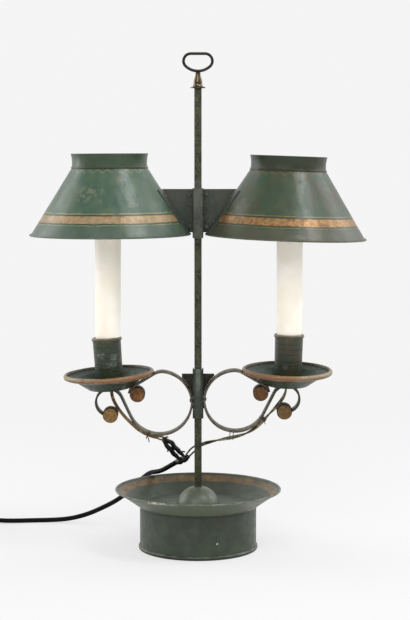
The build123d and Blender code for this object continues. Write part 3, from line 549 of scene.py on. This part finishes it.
def shadeFrame(side):
    sign, look = sides[side], shades[side]
    hinge = mm(sign * shades["hingeX"], 0, shades["rim"])
    rim = mm(sign * shades["reach"], 0, shades["rim"])
    turn = Matrix.Translation(hinge) @ turnY(sign * look["droop"]) @ Matrix.Translation(-hinge)
    return turn @ Matrix.Translation(rim)


def shadeFinish(side):
    look = shades[side]
    made = Finish(side + "ShadePaint", specular=0.42)
    place = made.moved(shadeFrame(side))
    x, y, z = made.axes(place)
    height = made.wavering(z, place, 9.0, 0.35)
    made.body = made.mottle(made.stretched(place, (1, 1, 0.4)), look["paints"], (30.0, 22.0, 14.0))
    grain = made.noise(place, 1.1, 6, 0.7)
    made.lay(made.span(grain, 0.5, 0.8, 0, 0.35), shades["dirt"])
    neck = made.span(z, shades["neck"] - 0.4, shades["neck"] + 0.4)
    made.lay(made.both(neck, made.span(made.noise(place, 16.0), 0.2, 0.6, 0.55, 1.0)), look["neckPaint"])
    made.lay(made.span(z, 10.5, 12.5, 0.35, 0), look["skirt"])
    worn = made.span(made.noise(place, 6.0, 8, 0.7), 0.36, 0.47)
    faded = made.span(made.noise(place, 11.0, 5), 0.34, 0.52)
    gilt = made.mottle(place, look["gilt"], (9.0, 4.0))
    gilt = made.mix(made.span(made.noise(place, 0.8, 5), 0.52, 0.75, 0, 0.5), gilt, look["gilt"][1])
    for low, high in shades["shadows"]:
        edge = made.both(made.stripe(height, low, high, 0.25), faded)
        made.lay(made.both(edge, made.span(grain, 0.2, 0.6, 0.4, 0.75)), shades["dirt"])
    band = made.both(made.stripe(height, *shades["band"], 0.2), made.either(worn, shades["leastGilt"]))
    made.lay(band, gilt)
    for low, high in shades["lines"]:
        line = made.both(made.stripe(height, low, high, 0.3), made.span(faded, 0, 1, 0.25, 0.85))
        made.lay(line, look["line"])
    turn = made.math("ARCTAN2", y, x)
    arch = made.math("ABSOLUTE", made.math("SINE", made.both(turn, float(shades["waves"]))))
    waveFloor, waveRise = shades["wave"]
    lift = made.math("ADD", made.both(arch, waveRise), waveFloor)
    drawn = made.wavering(height, place, 3.5, look["loose"], 2)
    away = made.math("ABSOLUTE", made.math("SUBTRACT", drawn, lift))
    wave = made.both(made.span(away, 0.2, shades["waveHalf"] + 0.35, 1, 0), made.span(faded, 0, 1, 0.1, 0.75))
    made.lay(wave, look["waveColour"])
    made.lay(made.both(made.stripe(z, *shades["seam"], 0.3), 0.75), shades["seamColour"])
    front = made.span(y, -30, -5, 1, 0)
    patch = made.span(made.noise(place, 6.0, 4), 0.44, 0.54)
    scratch = made.both(patch, made.span(made.noise(place, 1.4, 8, 0.85), 0.42, 0.56, 0.1, 1))
    made.mark(x, z, made.both(scratch, front), look["scuffs"], shades["scuff"])
    made.lay(made.span(made.noise(place, 2.4, 3, 0.6), 0.7, 0.78, 0, 0.6), shades["fleck"])
    # the rim bead is made paler: partly rubbed paint, partly a painted highlight
    rim = made.both(made.span(z, 0.2, 1.6, 1, 0), made.span(made.noise(place, 5.0, 6), 0.4, 0.6, 0.1, 0.7))
    made.lay(rim, shades["rimWearAndHighlight"])
    made.tree.links.new(made.both(band, look["shine"]), made.surface.inputs["Metallic"])
    made.bumps(made.stretched(place, (1, 1, 0.35)), (30.0, 1.4, 2))
    return made.cover(place, (9.0, 0.33, 0.43, 4), (2.2, 0.1, 6))


for side in sides:
    dress(shadeFinish(side), side + "_shade_cone", side + "_shade_collar")
print("shades painted")


# Base: drum, dish and dome in one worn paint, with a copper band inside the dish.
base = {"paints": ("#283326", "#2f3422", "#213022", "#363f2d"), "band": (56.6, 61.6), "bandReach": 66.0,
        "copper": ("#654d2a", "#7a5c31", "#4a3c24"), "pale": "#6c7160", "dirt": "#20211a", "chip": "#cfcdc4",
        "lip": (62.6, 63.4), "lipReach": (84.6, 85.2), "flareFoot": (46, 48),
        "domeReach": (22.6, 23.6), "domeFoot": (46.2, 47.2),
        "creaseShade": (43.2, 45.0), "footLine": (2.6, 4.4), "footShade": (1.7, 2.7), "shadeColour": "#0c0d0a",
        # chips of paint, the last one a painted highlight at the right end of the flare's underside
        "chipsAndHighlight": (((-42, 62.6), (13, 2.2), 0.85), ((-26, 61.8), (8, 1.6), 0.6), ((20, 17), (1.6, 1.0), 1.0),
                  ((57, 47), (6, 2.0), 0.6))}


def baseFinish():
    made = Finish("basePaint")
    place = ownMm(made)
    x, y, z = made.axes(place)
    r = made.radius(x, y)
    made.body = made.mottle(place, base["paints"], (44.0, 28.0, 15.0))
    grain = made.noise(place, 1.0, 6, 0.7)
    made.lay(made.span(grain, 0.5, 0.8, 0, 0.4), base["dirt"])
    up = made.axes(made.facing)[2]
    inside = made.both(made.span(up, 0.05, 0.3), made.span(r, base["bandReach"] - 1, base["bandReach"] + 1))
    band = made.stripe(made.wavering(z, place, 12.0, 0.5), *base["band"], 0.45)
    worn = made.span(made.noise(place, 13.0, 6, 0.65), 0.3, 0.5, 0.45, 1.0)
    copper = made.mottle(place, base["copper"], (16.0, 7.0))
    made.lay(made.both(made.both(inside, band), worn), copper)
    # the lip is made paler: partly rubbed paint, partly a painted highlight
    lip = made.both(made.span(z, *base["lip"]), made.span(r, *base["lipReach"]))
    rubbedAndLit = made.span(made.noise(place, 9.0, 4), 0.4, 0.65, 0.3, 0.75)
    made.lay(made.both(lip, rubbedAndLit), base["pale"])
    # painted reflection: the flare's downward faces are made paler, as the bright table shows in them
    flare = made.both(made.span(up, -0.2, -0.5), made.span(z, *base["flareFoot"]))
    made.lay(made.both(flare, 0.5), base["pale"])
    # painted highlight: the whole dome is made paler, as lit from above
    dome = made.both(made.span(r, *base["domeReach"], 1, 0), made.span(z, *base["domeFoot"]))
    made.lay(made.both(dome, made.span(made.noise(place, 22.0, 3), 0.3, 0.7, 0.35, 0.55)), base["pale"])
    # painted shade: a dark line where the flare meets the drum, under the flare
    made.lay(made.both(made.stripe(z, *base["creaseShade"], 0.6), 0.6), base["dirt"])
    # a pale line round the foot bead: partly rubbed paint, partly a painted highlight
    uneven = made.span(made.noise(place, 14.0, 4), 0.42, 0.62, 0.05, 0.5)
    made.lay(made.both(made.stripe(z, *base["footLine"], 0.5), uneven), base["pale"])
    made.lay(made.both(made.span(z, *base["footShade"], 1, 0), 0.92), base["shadeColour"])
    made.lay(made.span(made.noise(place, 2.0, 4, 0.6), 0.7, 0.78, 0, 0.5), base["pale"])
    # chips of paint, and one painted highlight under the flare
    scratch = made.both(made.span(made.noise(place, 2.0, 8, 0.8), 0.49, 0.55), made.span(y, -20, -5, 1, 0))
    made.mark(x, z, scratch, base["chipsAndHighlight"], base["chip"])
    return made.cover(place, (6.0, 0.34, 0.52, 6), (24.0, 0.8, 2), (1.8, 0.1, 6))


dress(baseFinish(), "base_drum", "base_dish", "dome")
print("base painted")


# Arms: each pan's own frame, as the strip is bent and hangs. The angles droop, nod and lean are in degrees.
arms = {"left": {"ringX": 40.40, "ringZ": 154.8, "droop": 4.1, "nod": 3.2, "arch": (52.7, 4.6), "lean": 0.6,
                 "pan": -1.4, "cup": -0.4},
        "right": {"ringX": 39.30, "ringZ": 157.1, "droop": 2.7, "nod": 4.6, "arch": (53.0, 4.8), "lean": 1.5,
                  "pan": 0.5, "cup": 0.8},
        "seat": 15.05, "cupFoot": 15.85}


def seatFrame(side, shift, rise):
    sign, arm = sides[side], arms[side]
    ring = Matrix.Translation(mm(sign * arm["ringX"], 0, arm["ringZ"])) @ turnX(arm["nod"])
    arch = Matrix.Translation(mm(sign * arm["arch"][0], 0, arm["arch"][1])) @ turnY(-sign * arm["lean"])
    return ring @ turnY(sign * arm["droop"]) @ arch @ Matrix.Translation(mm(sign * shift, 0, rise))


panLook = {"paints": ("#1e2c20", "#282718", "#182c20", "#2b3a28"), "dirt": "#1e1f18", "chip": "#8d9a86",
           "well": "#16281a", "wellReach": (39.0, 44.0),
           "gilt": ("#7d6046", "#927457", "#684a34"), "lipReach": 43.4}


def panFinish(side):
    made = Finish(side + "PanPaint", specular=0.3)
    place = made.moved(seatFrame(side, arms[side]["pan"], arms["seat"]))
    r = made.radius(*made.axes(place)[:2])
    made.body = made.mottle(place, panLook["paints"], (18.0, 11.0, 7.0))
    made.lay(made.span(made.noise(place, 0.9, 6, 0.7), 0.5, 0.8, 0, 0.4), panLook["dirt"])
    up = made.span(made.axes(made.facing)[2], 0.1, 0.4)
    made.lay(made.both(up, made.span(r, *panLook["wellReach"], 0.8, 0.3)), panLook["well"])
    made.lay(made.span(made.noise(place, 1.9, 5, 0.7), 0.68, 0.75, 0, 0.45), panLook["chip"])
    gilt = made.mottle(place, panLook["gilt"], (9.0, 4.0))
    gilt = made.mix(made.span(made.noise(place, 0.9, 6), 0.55, 0.75, 0, 0.6), gilt, panLook["dirt"])
    lip = made.span(made.wavering(r, place, 6.0, 0.5), panLook["lipReach"] - 0.3, panLook["lipReach"] + 0.3)
    made.lay(made.both(lip, made.span(made.noise(place, 7.0, 6), 0.3, 0.5, 0.75, 1)), gilt)
    return made.cover(place, (4.0, 0.3, 0.48, 6), (12.0, 0.5, 2), (1.5, 0.08, 6))


cupLook = {"lip": (49.4, 49.9), "gilt": "#7d6245", "rings": (21.0, 25.5, 33.0, 38.4, 44.0), "line": "#0f100b",
           "dirt": "#1b1c16", "chip": "#6d796f",
           "left": {"paints": ("#2b3320", "#2e2d1d", "#233225", "#393f2d"), "tall": 2.0,
                    "marks": (((-6, 36), (6, 5), 0.9), ((7, 31), (5, 9), 0.9), ((2, 25), (11, 4), 0.6))},
           "right": {"paints": ("#303825", "#463223", "#27362b", "#393925"), "tall": 0.45,
                     "marks": (((-2, 48), (2, 1.5), 0.8), ((-3, 20), (6, 3), 0.7))}}


def cupFinish(side):
    arm = arms[side]
    made = Finish(side + "CupPaint", specular=0.45)
    place = made.moved(seatFrame(side, arm["pan"] + arm["cup"], arms["cupFoot"]))
    x, y, z = made.axes(place)
    look = cupLook[side]
    made.body = made.mottle(made.stretched(place, (1, 1, look["tall"])), look["paints"], (12.0, 8.0, 5.0))
    made.lay(made.span(made.noise(place, 0.8, 6, 0.7), 0.48, 0.8, 0, 0.5), cupLook["dirt"])
    height = made.wavering(z, place, 9.0, 0.5)
    broken = made.span(made.noise(place, 6.0, 4), 0.36, 0.52, 0.2, 1)
    for ring in cupLook["rings"]:
        line = made.both(made.stripe(height, ring - 0.4, ring + 0.4, 0.2), broken)
        made.lay(made.both(line, 0.85), cupLook["line"])
    lip = made.both(made.span(z, *cupLook["lip"]), made.span(made.noise(place, 5.0), 0.35, 0.6))
    made.lay(made.both(lip, 0.85), cupLook["gilt"])
    worn = made.span(made.noise(made.stretched(place, (0.6, 1, 1.5)), 2.6, 7, 0.75), 0.46, 0.6)
    made.mark(x, z, made.both(worn, made.span(y, -6, -1, 1, 0)), look["marks"], cupLook["chip"])
    made.bumps(made.stretched(place, (1, 1, 3.0)), (7.0, 0.35, 3))
    return made.cover(place, (3.0, 0.32, 0.5, 6), (1.2, 0.08, 6))


# The rolled lips of pans and cups: thick uneven beads over the sheet's edge, taller in front.
lips = {"pan": {"r": 45.4, "z": 14.7, "wide": 2.1, "high": 2.5, "front": 0.9, "frontHigh": 0.4, "sway": 0.22,
                "steps": 96},
        "cup": {"r": 14.5, "z": 51.0, "wide": 1.3, "high": 1.9, "front": 1.1, "frontHigh": 0.0, "sway": 0.25,
                "steps": 56},
        "around": 14, "waves": (2, 3, 5, 9), "swayOut": 0.3, "swayUp": 0.5, "swayThin": 0.2,
        "pale": "#86775f", "gilt": "#7c5b3c", "copper": "#653f25", "inside": "#232c22",
        "cupPale": "#7a7563", "cupLipShade": "#1d1b14", "cupMid": "#4b4535"}


def lipFinish(side, kind, seat):
    made = Finish(side + kind.title() + "Lip", metallic=0.15, specular=0.4)
    place = made.moved(seat)
    x, y, z = made.axes(place)
    look = lips[kind]
    level = made.math("SUBTRACT", z, made.math("ADD", made.both(y, -look["front"] / look["r"]), look["z"]))
    if kind == "pan":  # gilt towards the rod, rubbed pale on the outer half
        outward = made.wavering(made.both(x, float(sides[side])), place, 9.0, 34)
        made.body = made.mix(made.span(outward, -2, 22), lips["gilt"], lips["pale"])
        low = made.span(level, -0.9, 0.3, 1, 0)
        made.lay(made.both(low, made.span(made.noise(place, 7.0, 4), 0.3, 0.55, 0.4, 0.95)), lips["copper"])
        made.lay(made.span(made.radius(x, y), look["r"] - 1.0, look["r"] - 0.4, 0.9, 0), lips["inside"])
    else:
        made.body = made.mix(made.noise(place, 4.0), lips["cupMid"], lips["cupPale"])
        # painted shade: a dark band across the bead, as in a groove, and darker under the bead
        made.lay(made.stripe(level, -0.6, 0.1, 0.25), lips["cupLipShade"])
        made.lay(made.span(level, -1.5, -1.1, 0.8, 0), lips["cupLipShade"])
    made.lay(made.span(made.noise(place, 0.9, 6), 0.55, 0.78, 0, 0.6), panLook["dirt"])
    return made.cover(place, (3.0, 0.3, 0.5, 5), (5.0, 0.3, 3), (1.0, 0.06, 5))


def makeLip(side, kind, seat):
    look, around = lips[kind], lips["around"]
    dice = random.Random(sides[side] * 7 + look["steps"])
    waves = [(n, dice.uniform(0, 6.28), look["sway"] / n ** 0.5) for n in lips["waves"]]
    vertices = []
    for i in range(look["steps"]):
        turn = 2 * math.pi * i / look["steps"]
        sway = sum(size * math.sin(n * turn + start) for n, start, size in waves)
        front = -math.sin(turn)
        high = look["high"] + look["frontHigh"] * front - abs(sway) * lips["swayThin"]
        for k in range(around):
            angle = 2 * math.pi * k / around
            r = look["r"] + sway * lips["swayOut"] + look["wide"] * math.cos(angle)
            z = look["z"] + look["front"] * front + sway * lips["swayUp"] + high * math.sin(angle)
            vertices.append(seat @ mm(r * math.cos(turn), r * math.sin(turn), z))
    shape = vertices, ringFaces(look["steps"], around, flipped=True)
    obj = meshPiece(side + kind.title() + "Lip", shape, lipFinish(side, kind, seat), "arm_carrier")


for side in sides:
    arm = arms[side]
    dress(panFinish(side), side + "_pan")
    dress(cupFinish(side), side + "_cup")
    makeLip(side, "pan", seatFrame(side, arm["pan"], arms["seat"]))
    makeLip(side, "cup", seatFrame(side, arm["pan"] + arm["cup"], arms["cupFoot"]))
print("pans and cups painted")


# Rod, slides, fittings and plastic: paints and the sizes of their patches, bumps, and the nodes they are on.
metalLooks = {
    "rodPaint": {"paints": ("#1b2c1d", "#3d3826", "#10160e", "#45452f"), "sizes": (17.0, 9.0, 2.4),
                 "rough": (0.42, 0.62), "bumps": ((7.0, 0.5), (1.2, 0.12)), "on": ("rod",)},
    "slidePaint": {"paints": ("#2b2f28", "#353930", "#22251e", "#41453b"), "sizes": (16.0, 8.0, 4.0),
                   "rough": (0.34, 0.5), "bumps": ((12.0, 0.5), (1.2, 0.08)),
                   "on": ("shade_leaf", "arm_leaf")},
    "shadeSlidePaint": {"paints": ("#2c2f28", "#373a32", "#23251f", "#444740"), "sizes": (14.0, 3.0, 2.0),
                        "rough": (0.4, 0.56), "bumps": ((1.8, 0.2), (0.8, 0.08)), "on": ("shade_channel",),
                        "highlightLine": {"half": (3.4, 6.5), "fade": (352.0, 366.0), "colour": "#52544c"}},
    "platePaint": {"paints": ("#353e36", "#47453d", "#2e3932"), "sizes": (34.0, 16.0),
                   "rough": (0.36, 0.5), "bumps": ((14.0, 0.5), (1.2, 0.08)), "on": ("shade_plate",)},
    "armSlidePaint": {"paints": ("#23281f", "#1a1d16", "#30352b"), "sizes": (10.0, 4.0), "rough": (0.32, 0.46),
                      "bumps": ((9.0, 0.4), (1.2, 0.08)), "on": ("arm_channel",),
                      "highlightLine": {"half": (1.6, 3.4), "fade": (158.0, 178.0), "colour": "#59645a"}},
    "rivetPaint": {"paints": ("#3a3d34", "#55564a"), "sizes": (3.0,), "rough": (0.3, 0.45),
                   "bumps": ((1.2, 0.05),), "on": ("shade_rivets",)},
    "armPlatePaint": {"paints": ("#2c261a", "#3a3122", "#16130d"), "sizes": (8.0, 4.0), "rough": (0.45, 0.6),
                      "bumps": ((5.0, 0.3),), "on": ("arm_plate",)},
    "oldBrass": {"paints": ("#5a503f", "#6d6350", "#4a3f2e"), "sizes": (12.0, 7.0), "rough": (0.16, 0.24),
                 "bumps": ((6.0, 0.08),), "on": ("finial_baluster",), "metallic": 0.85},
    "handleIron": {"paints": ("#25221d", "#37332b", "#1b1915"), "sizes": (6.0, 2.5), "rough": (0.28, 0.42),
                   "bumps": ((1.6, 0.08),), "on": ("ring_handle",), "metallic": 0.5},
    "zincSteel": {"paints": ("#8b8b84", "#6f6f69", "#a0a099"), "sizes": (5.0, 2.0), "rough": (0.3, 0.5),
                  "bumps": ((1.0, 0.05),), "metallic": 0.8,
                  "on": ("rod_washer", "rod_nut", "left_holder_leg", "right_holder_leg")},
    "rawIron": {"paints": ("#3b3834", "#4a4038", "#2c2a28"), "sizes": (14.0, 5.0), "rough": (0.6, 0.8),
                "bumps": ((2.0, 0.25),), "on": ("ballast", "bottom_plate")},
    "capMetal": {"paints": ("#b4b2ad", "#8f8d88"), "sizes": (4.0,), "rough": (0.25, 0.4),
                 "bumps": ((2.0, 0.1),), "metallic": 0.9, "on": ("left_bulb_cap", "right_bulb_cap")},
    "holderPlastic": {"paints": ("#161616", "#1f1f1f"), "sizes": (3.0,), "rough": (0.4, 0.55),
                      "bumps": ((1.0, 0.04),), "on": ("left_lampholder", "right_lampholder")},
    "mouldedBlack": {"paints": ("#0d0d0e", "#151516"), "sizes": (2.0,), "rough": (0.34, 0.46),
                     "bumps": ((0.6, 0.03),), "on": ("switch_base", "switch_cover", "switch_reliefs",
                                                     "switch_rocker", "plug_body", "coil_tie")},
    "pinMetal": {"paints": ("#c2c0ba", "#a19f99"), "sizes": (3.0,), "rough": (0.18, 0.3),
                 "bumps": ((1.0, 0.02),), "metallic": 1.0, "on": ("plug_pins",)}}


def metalFinish(name, look):
    made = Finish(name, metallic=look.get("metallic", 0.0), specular=0.35)
    place = ownMm(made)
    made.body = made.mottle(place, look["paints"], look["sizes"])
    if "highlightLine" in look:  # a painted highlight down the middle of the front, stronger towards the top
        highlightLine = look["highlightLine"]
        x, y, z = made.axes(place)
        middle = made.span(made.math("ABSOLUTE", x), *highlightLine["half"], 1, 0)
        line = made.both(middle, made.span(z, *highlightLine["fade"], 0.15, 0.9))
        uneven = made.span(made.noise(place, 7.0, 3), 0.25, 0.6, 0.4, 1)
        made.lay(made.both(line, uneven), highlightLine["colour"])
    return made.cover(place, (look["sizes"][-1], *look["rough"]), *look["bumps"])


for name, look in metalLooks.items():
    dress(metalFinish(name, look), *look["on"])


# Scroll paints as lit and shaded: paler on front edges and upper faces as a painted highlight, dark on the
# sides as painted shade.
scrollLook = {"edge": ("#5f5745", "#716a56", "#453e30"), "top": ("#5d5646", "#6f6856", "#484133"),
              "side": ("#17130d", "#231d14"), "outer": "#1d1f19", "outerReach": (62, 78),
              "bevel": 0.4, "roundelBevel": 0.5, "sharpest": 50, "weld": 0.00001}


def scrollLitFinish():  # painted light: front edges and upper faces in paler paints as lit, sides in dark paint as shaded, and painted shade out under the pans
    made = Finish("scrollIronLitShaded", specular=0.3)
    place = ownMm(made)
    facing = made.axes(made.facing)
    front = made.span(made.math("ABSOLUTE", facing[1]), 0.86, 0.98)
    made.body = made.mottle(place, scrollLook["side"], (9.0,))
    made.lay(made.span(facing[2], 0.35, 0.75), made.mottle(place, scrollLook["top"], (12.0, 5.0)))
    made.lay(front, made.mottle(place, scrollLook["edge"], (14.0, 5.0)))
    made.lay(made.span(made.noise(place, 2.2, 5), 0.52, 0.72, 0, 0.6), scrollLook["side"][1])
    # painted shade: darker further out, under the pans
    outer = made.span(made.math("ABSOLUTE", made.axes(place)[0]), *scrollLook["outerReach"], 0, 0.6)
    made.lay(outer, scrollLook["outer"])
    return made.cover(place, (2.6, 0.4, 0.56), (4.0, 0.3), (0.9, 0.06))


def roundEdges(width, *names):  # soft edges on the bent and folded iron
    for name in names:
        weld = nodes[name].modifiers.new("weld", "WELD")
        weld.merge_threshold = scrollLook["weld"]
        bevel = nodes[name].modifiers.new("bevel", "BEVEL")
        bevel.width, bevel.segments, bevel.limit_method = width / 1000, 2, "ANGLE"
        bevel.angle_limit = math.radians(scrollLook["sharpest"])
        bevel.harden_normals = True


dress(scrollLitFinish(), "left_scroll", "right_scroll", "arm_rivets", "seat_rivets")
roundEdges(scrollLook["bevel"], "left_scroll", "right_scroll")
roundEdges(scrollLook["roundelBevel"], "left_roundels", "right_roundels")


roundelLook = {"face": ("#7c502b", "#8f6337", "#55391f"), "gold": ("#88663a", "#987446", "#654c2d"),
               "goldBelow": (152.0, 158.0), "rimBeyond": (30, 60), "side": "#16140e", "rim": "#33271a"}


def roundelFinish():
    made = Finish("roundelGilt", specular=0.2)
    place = ownMm(made)
    x, y, z = made.axes(place)
    face = made.span(made.math("ABSOLUTE", made.axes(made.facing)[1]), 0.75, 0.95)
    brown = made.mottle(place, roundelLook["face"], (5.0, 2.6))
    gold = made.mottle(place, roundelLook["gold"], (4.0, 2.6))
    gilt = made.mix(made.span(z, *roundelLook["goldBelow"]), gold, brown)
    gilt = made.mix(made.span(x, *roundelLook["rimBeyond"], 0, 0.35), gilt, roundelLook["rim"])
    gilt = made.mix(made.span(made.noise(place, 1.0, 6), 0.5, 0.7, 0, 0.6), gilt, roundelLook["rim"])
    made.body = made.mix(face, roundelLook["side"], gilt)
    return made.cover(place, (2.0, 0.42, 0.62), (1.6, 0.3, 6))


dress(roundelFinish(), "left_roundels", "right_roundels")
print("metal finished")


candleLook = {"ivory": "#f8f3e8", "warm": "#f3ead9", "footR": 12.9, "topR": 13.7, "wall": 0.8, "footTuck": 0.4,
              "flareFrom": 0.15, "flareOver": 0.84, "flareSteps": 8, "rimRound": 0.3, "rimFrom": 0.996,
              "around": 64, "lean": {"left": 1.1, "right": -0.5}}
bulbLook = {"milk": "#f2f1ec", "bright": "#fafaf7"}


def candleFinish():
    made = Finish("candleSleeve")
    place = ownMm(made)
    made.body = made.mottle(place, (candleLook["ivory"], candleLook["warm"]), (26.0,))
    return made.cover(place, (8.0, 0.38, 0.5), (5.0, 0.08))


def glassFinish():
    made = Finish("opalGlass", roughness=0.3)
    made.body = made.mix(made.noise(ownMm(made), 9.0), bulbLook["milk"], bulbLook["bright"])
    made.colour()
    return made


def makeCandle(side):  # a card sleeve, a little wider at its top
    low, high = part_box(side + "_candle")
    nod = math.radians(arms[side]["nod"])
    footR, wall, soft = candleLook["footR"], candleLook["wall"], candleLook["rimRound"]
    r, middle = footR / 1000, (low.x + high.x) / 2
    foot = Vector((middle, high.y - r * math.cos(nod), low.z + r * math.sin(nod)))
    lean = candleLook["lean"][side] / 1000
    top = Vector((middle + lean, low.y + r * math.cos(nod), high.z - r * math.sin(nod)))
    tuck = footR - candleLook["footTuck"]
    loop = [(tuck, 0.0)]  # radius in mm, and share of the height
    for k in range(candleLook["flareSteps"] + 1):
        share = candleLook["flareFrom"] + candleLook["flareOver"] * k / candleLook["flareSteps"]
        loop.append((footR + (candleLook["topR"] - footR) * share, share))
    rim, bend = loop[-1][0], candleLook["rimFrom"]
    loop += [(rim, bend), (rim - soft, 1.0), (rim - 2 * soft, 1.0), (rim - wall, bend), (tuck - wall, 0.0)]
    steps = candleLook["around"]
    along = top - foot
    across = Vector((1, 0, 0))
    deep = along.cross(across).normalized()
    vertices = []
    for i in range(steps):
        turn = 2 * math.pi * i / steps
        out = across * math.cos(turn) + deep * math.sin(turn)
        vertices += [foot + along * share + out * (radius / 1000) for radius, share in loop]
    shape = vertices, ringFaces(steps, len(loop), flipped=True)
    obj = meshPiece(side + "CandleSleeve", shape, candleFinish(), "arm_carrier")
    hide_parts(side + "_candle")


for side in sides:
    makeCandle(side)
dress(glassFinish(), "left_bulb_glass", "right_bulb_glass")
print("candles and bulbs finished")


# A pale table and studio light: a box high on the right and one in front, a lit wall on each side, and a room
# that is brighter behind the lamp than before it.
studio = {"floorHalf": 6.0, "floor": (0.8, 0.8, 0.8, 1.0), "background": 0.91, "fade": (450.0, 1500.0),
          "shadowShare": 0.26, "floorGlow": 0.845, "worldFrom": (-1.0, 0.7), "world": (0.3, 1.0),
          "lamps": {"rightBox": {"place": (0.96, -0.63, 1.94), "size": (0.6, 0.8), "watts": 20.0},
                    "frontBox": {"place": (-0.35, -1.8, 1.5), "size": (1.4, 1.0), "watts": 22.5},
                    "rightWall": {"place": (1.7, 0.55, 1.3), "size": (1.2, 1.4), "watts": 16.0},
                    "leftWall": {"place": (-1.75, 0.6, 0.95), "size": (1.2, 1.6), "watts": 18.0}},
          "aim": (0.0, 0.0, 0.28)}


def makeFloor():
    half = studio["floorHalf"]
    made = Finish("tableTop", roughness=0.9, specular=0.0)
    made.surface.inputs["Base Color"].default_value = studio["floor"]
    r = made.radius(*made.axes(ownMm(made))[:2])
    rays = made.add("ShaderNodeLightPath")
    seen = made.either(rays.outputs["Is Camera Ray"], rays.outputs["Is Glossy Ray"])
    seen = made.either(seen, rays.outputs["Is Transmission Ray"])
    fade = made.both(made.span(r, *studio["fade"]), seen)  # the floor runs out into the backdrop
    glow = made.add("ShaderNodeEmission", {"Strength": studio["background"]})
    bright = made.add("ShaderNodeEmission", {"Strength": studio["floorGlow"]})
    lift = made.both(seen, 1 - studio["shadowShare"])
    lifted = made.add("ShaderNodeMixShader", {0: lift, 1: made.surface.outputs[0], 2: bright.outputs[0]})
    blend = made.add("ShaderNodeMixShader", {0: fade, 1: lifted.outputs[0], 2: glow.outputs[0]})
    made.tree.links.new(blend.outputs[0], made.tree.nodes["Material Output"].inputs[0])
    corners = [(-half, -half, 0), (half, -half, 0), (half, half, 0), (-half, half, 0)]
    obj = meshPiece("tableTop", (corners, [(0, 1, 2, 3)]), made)


def makeWorld():
    world = bpy.data.worlds.new("studio")
    bpy.context.scene.world = world
    world.use_nodes = True
    tree = world.node_tree
    new, link = tree.nodes.new, tree.links.new
    direction = new("ShaderNodeSeparateXYZ")
    link(new("ShaderNodeTexCoord").outputs["Generated"], direction.inputs[0])
    level = new("ShaderNodeMapRange")
    for socket, value in zip(level.inputs[1:5], studio["worldFrom"] + studio["world"]):
        socket.default_value = value
    link(direction.outputs[1], level.inputs[0])
    rays = new("ShaderNodeLightPath")
    strength = new("ShaderNodeMix")
    link(rays.outputs["Is Camera Ray"], strength.inputs[0])
    link(level.outputs[0], strength.inputs[2])
    strength.inputs[3].default_value = studio["background"]
    background = tree.nodes["Background"]
    background.inputs["Color"].default_value = (1, 1, 1, 1)
    link(strength.outputs[0], background.inputs["Strength"])


def makeLamps():
    for name, look in studio["lamps"].items():
        data = bpy.data.lights.new(name, "AREA")
        data.shape = "RECTANGLE"
        data.size, data.size_y = look["size"]
        data.energy = look["watts"]
        obj = inScene(name, data)
        place = Vector(look["place"])
        turn = (Vector(studio["aim"]) - place).to_track_quat("-Z", "Y").to_matrix().to_4x4()
        obj.matrix_world = Matrix.Translation(place) @ turn


makeFloor()
makeWorld()
makeLamps()
bpy.context.scene.view_settings.view_transform = "Standard"
print("studio made")
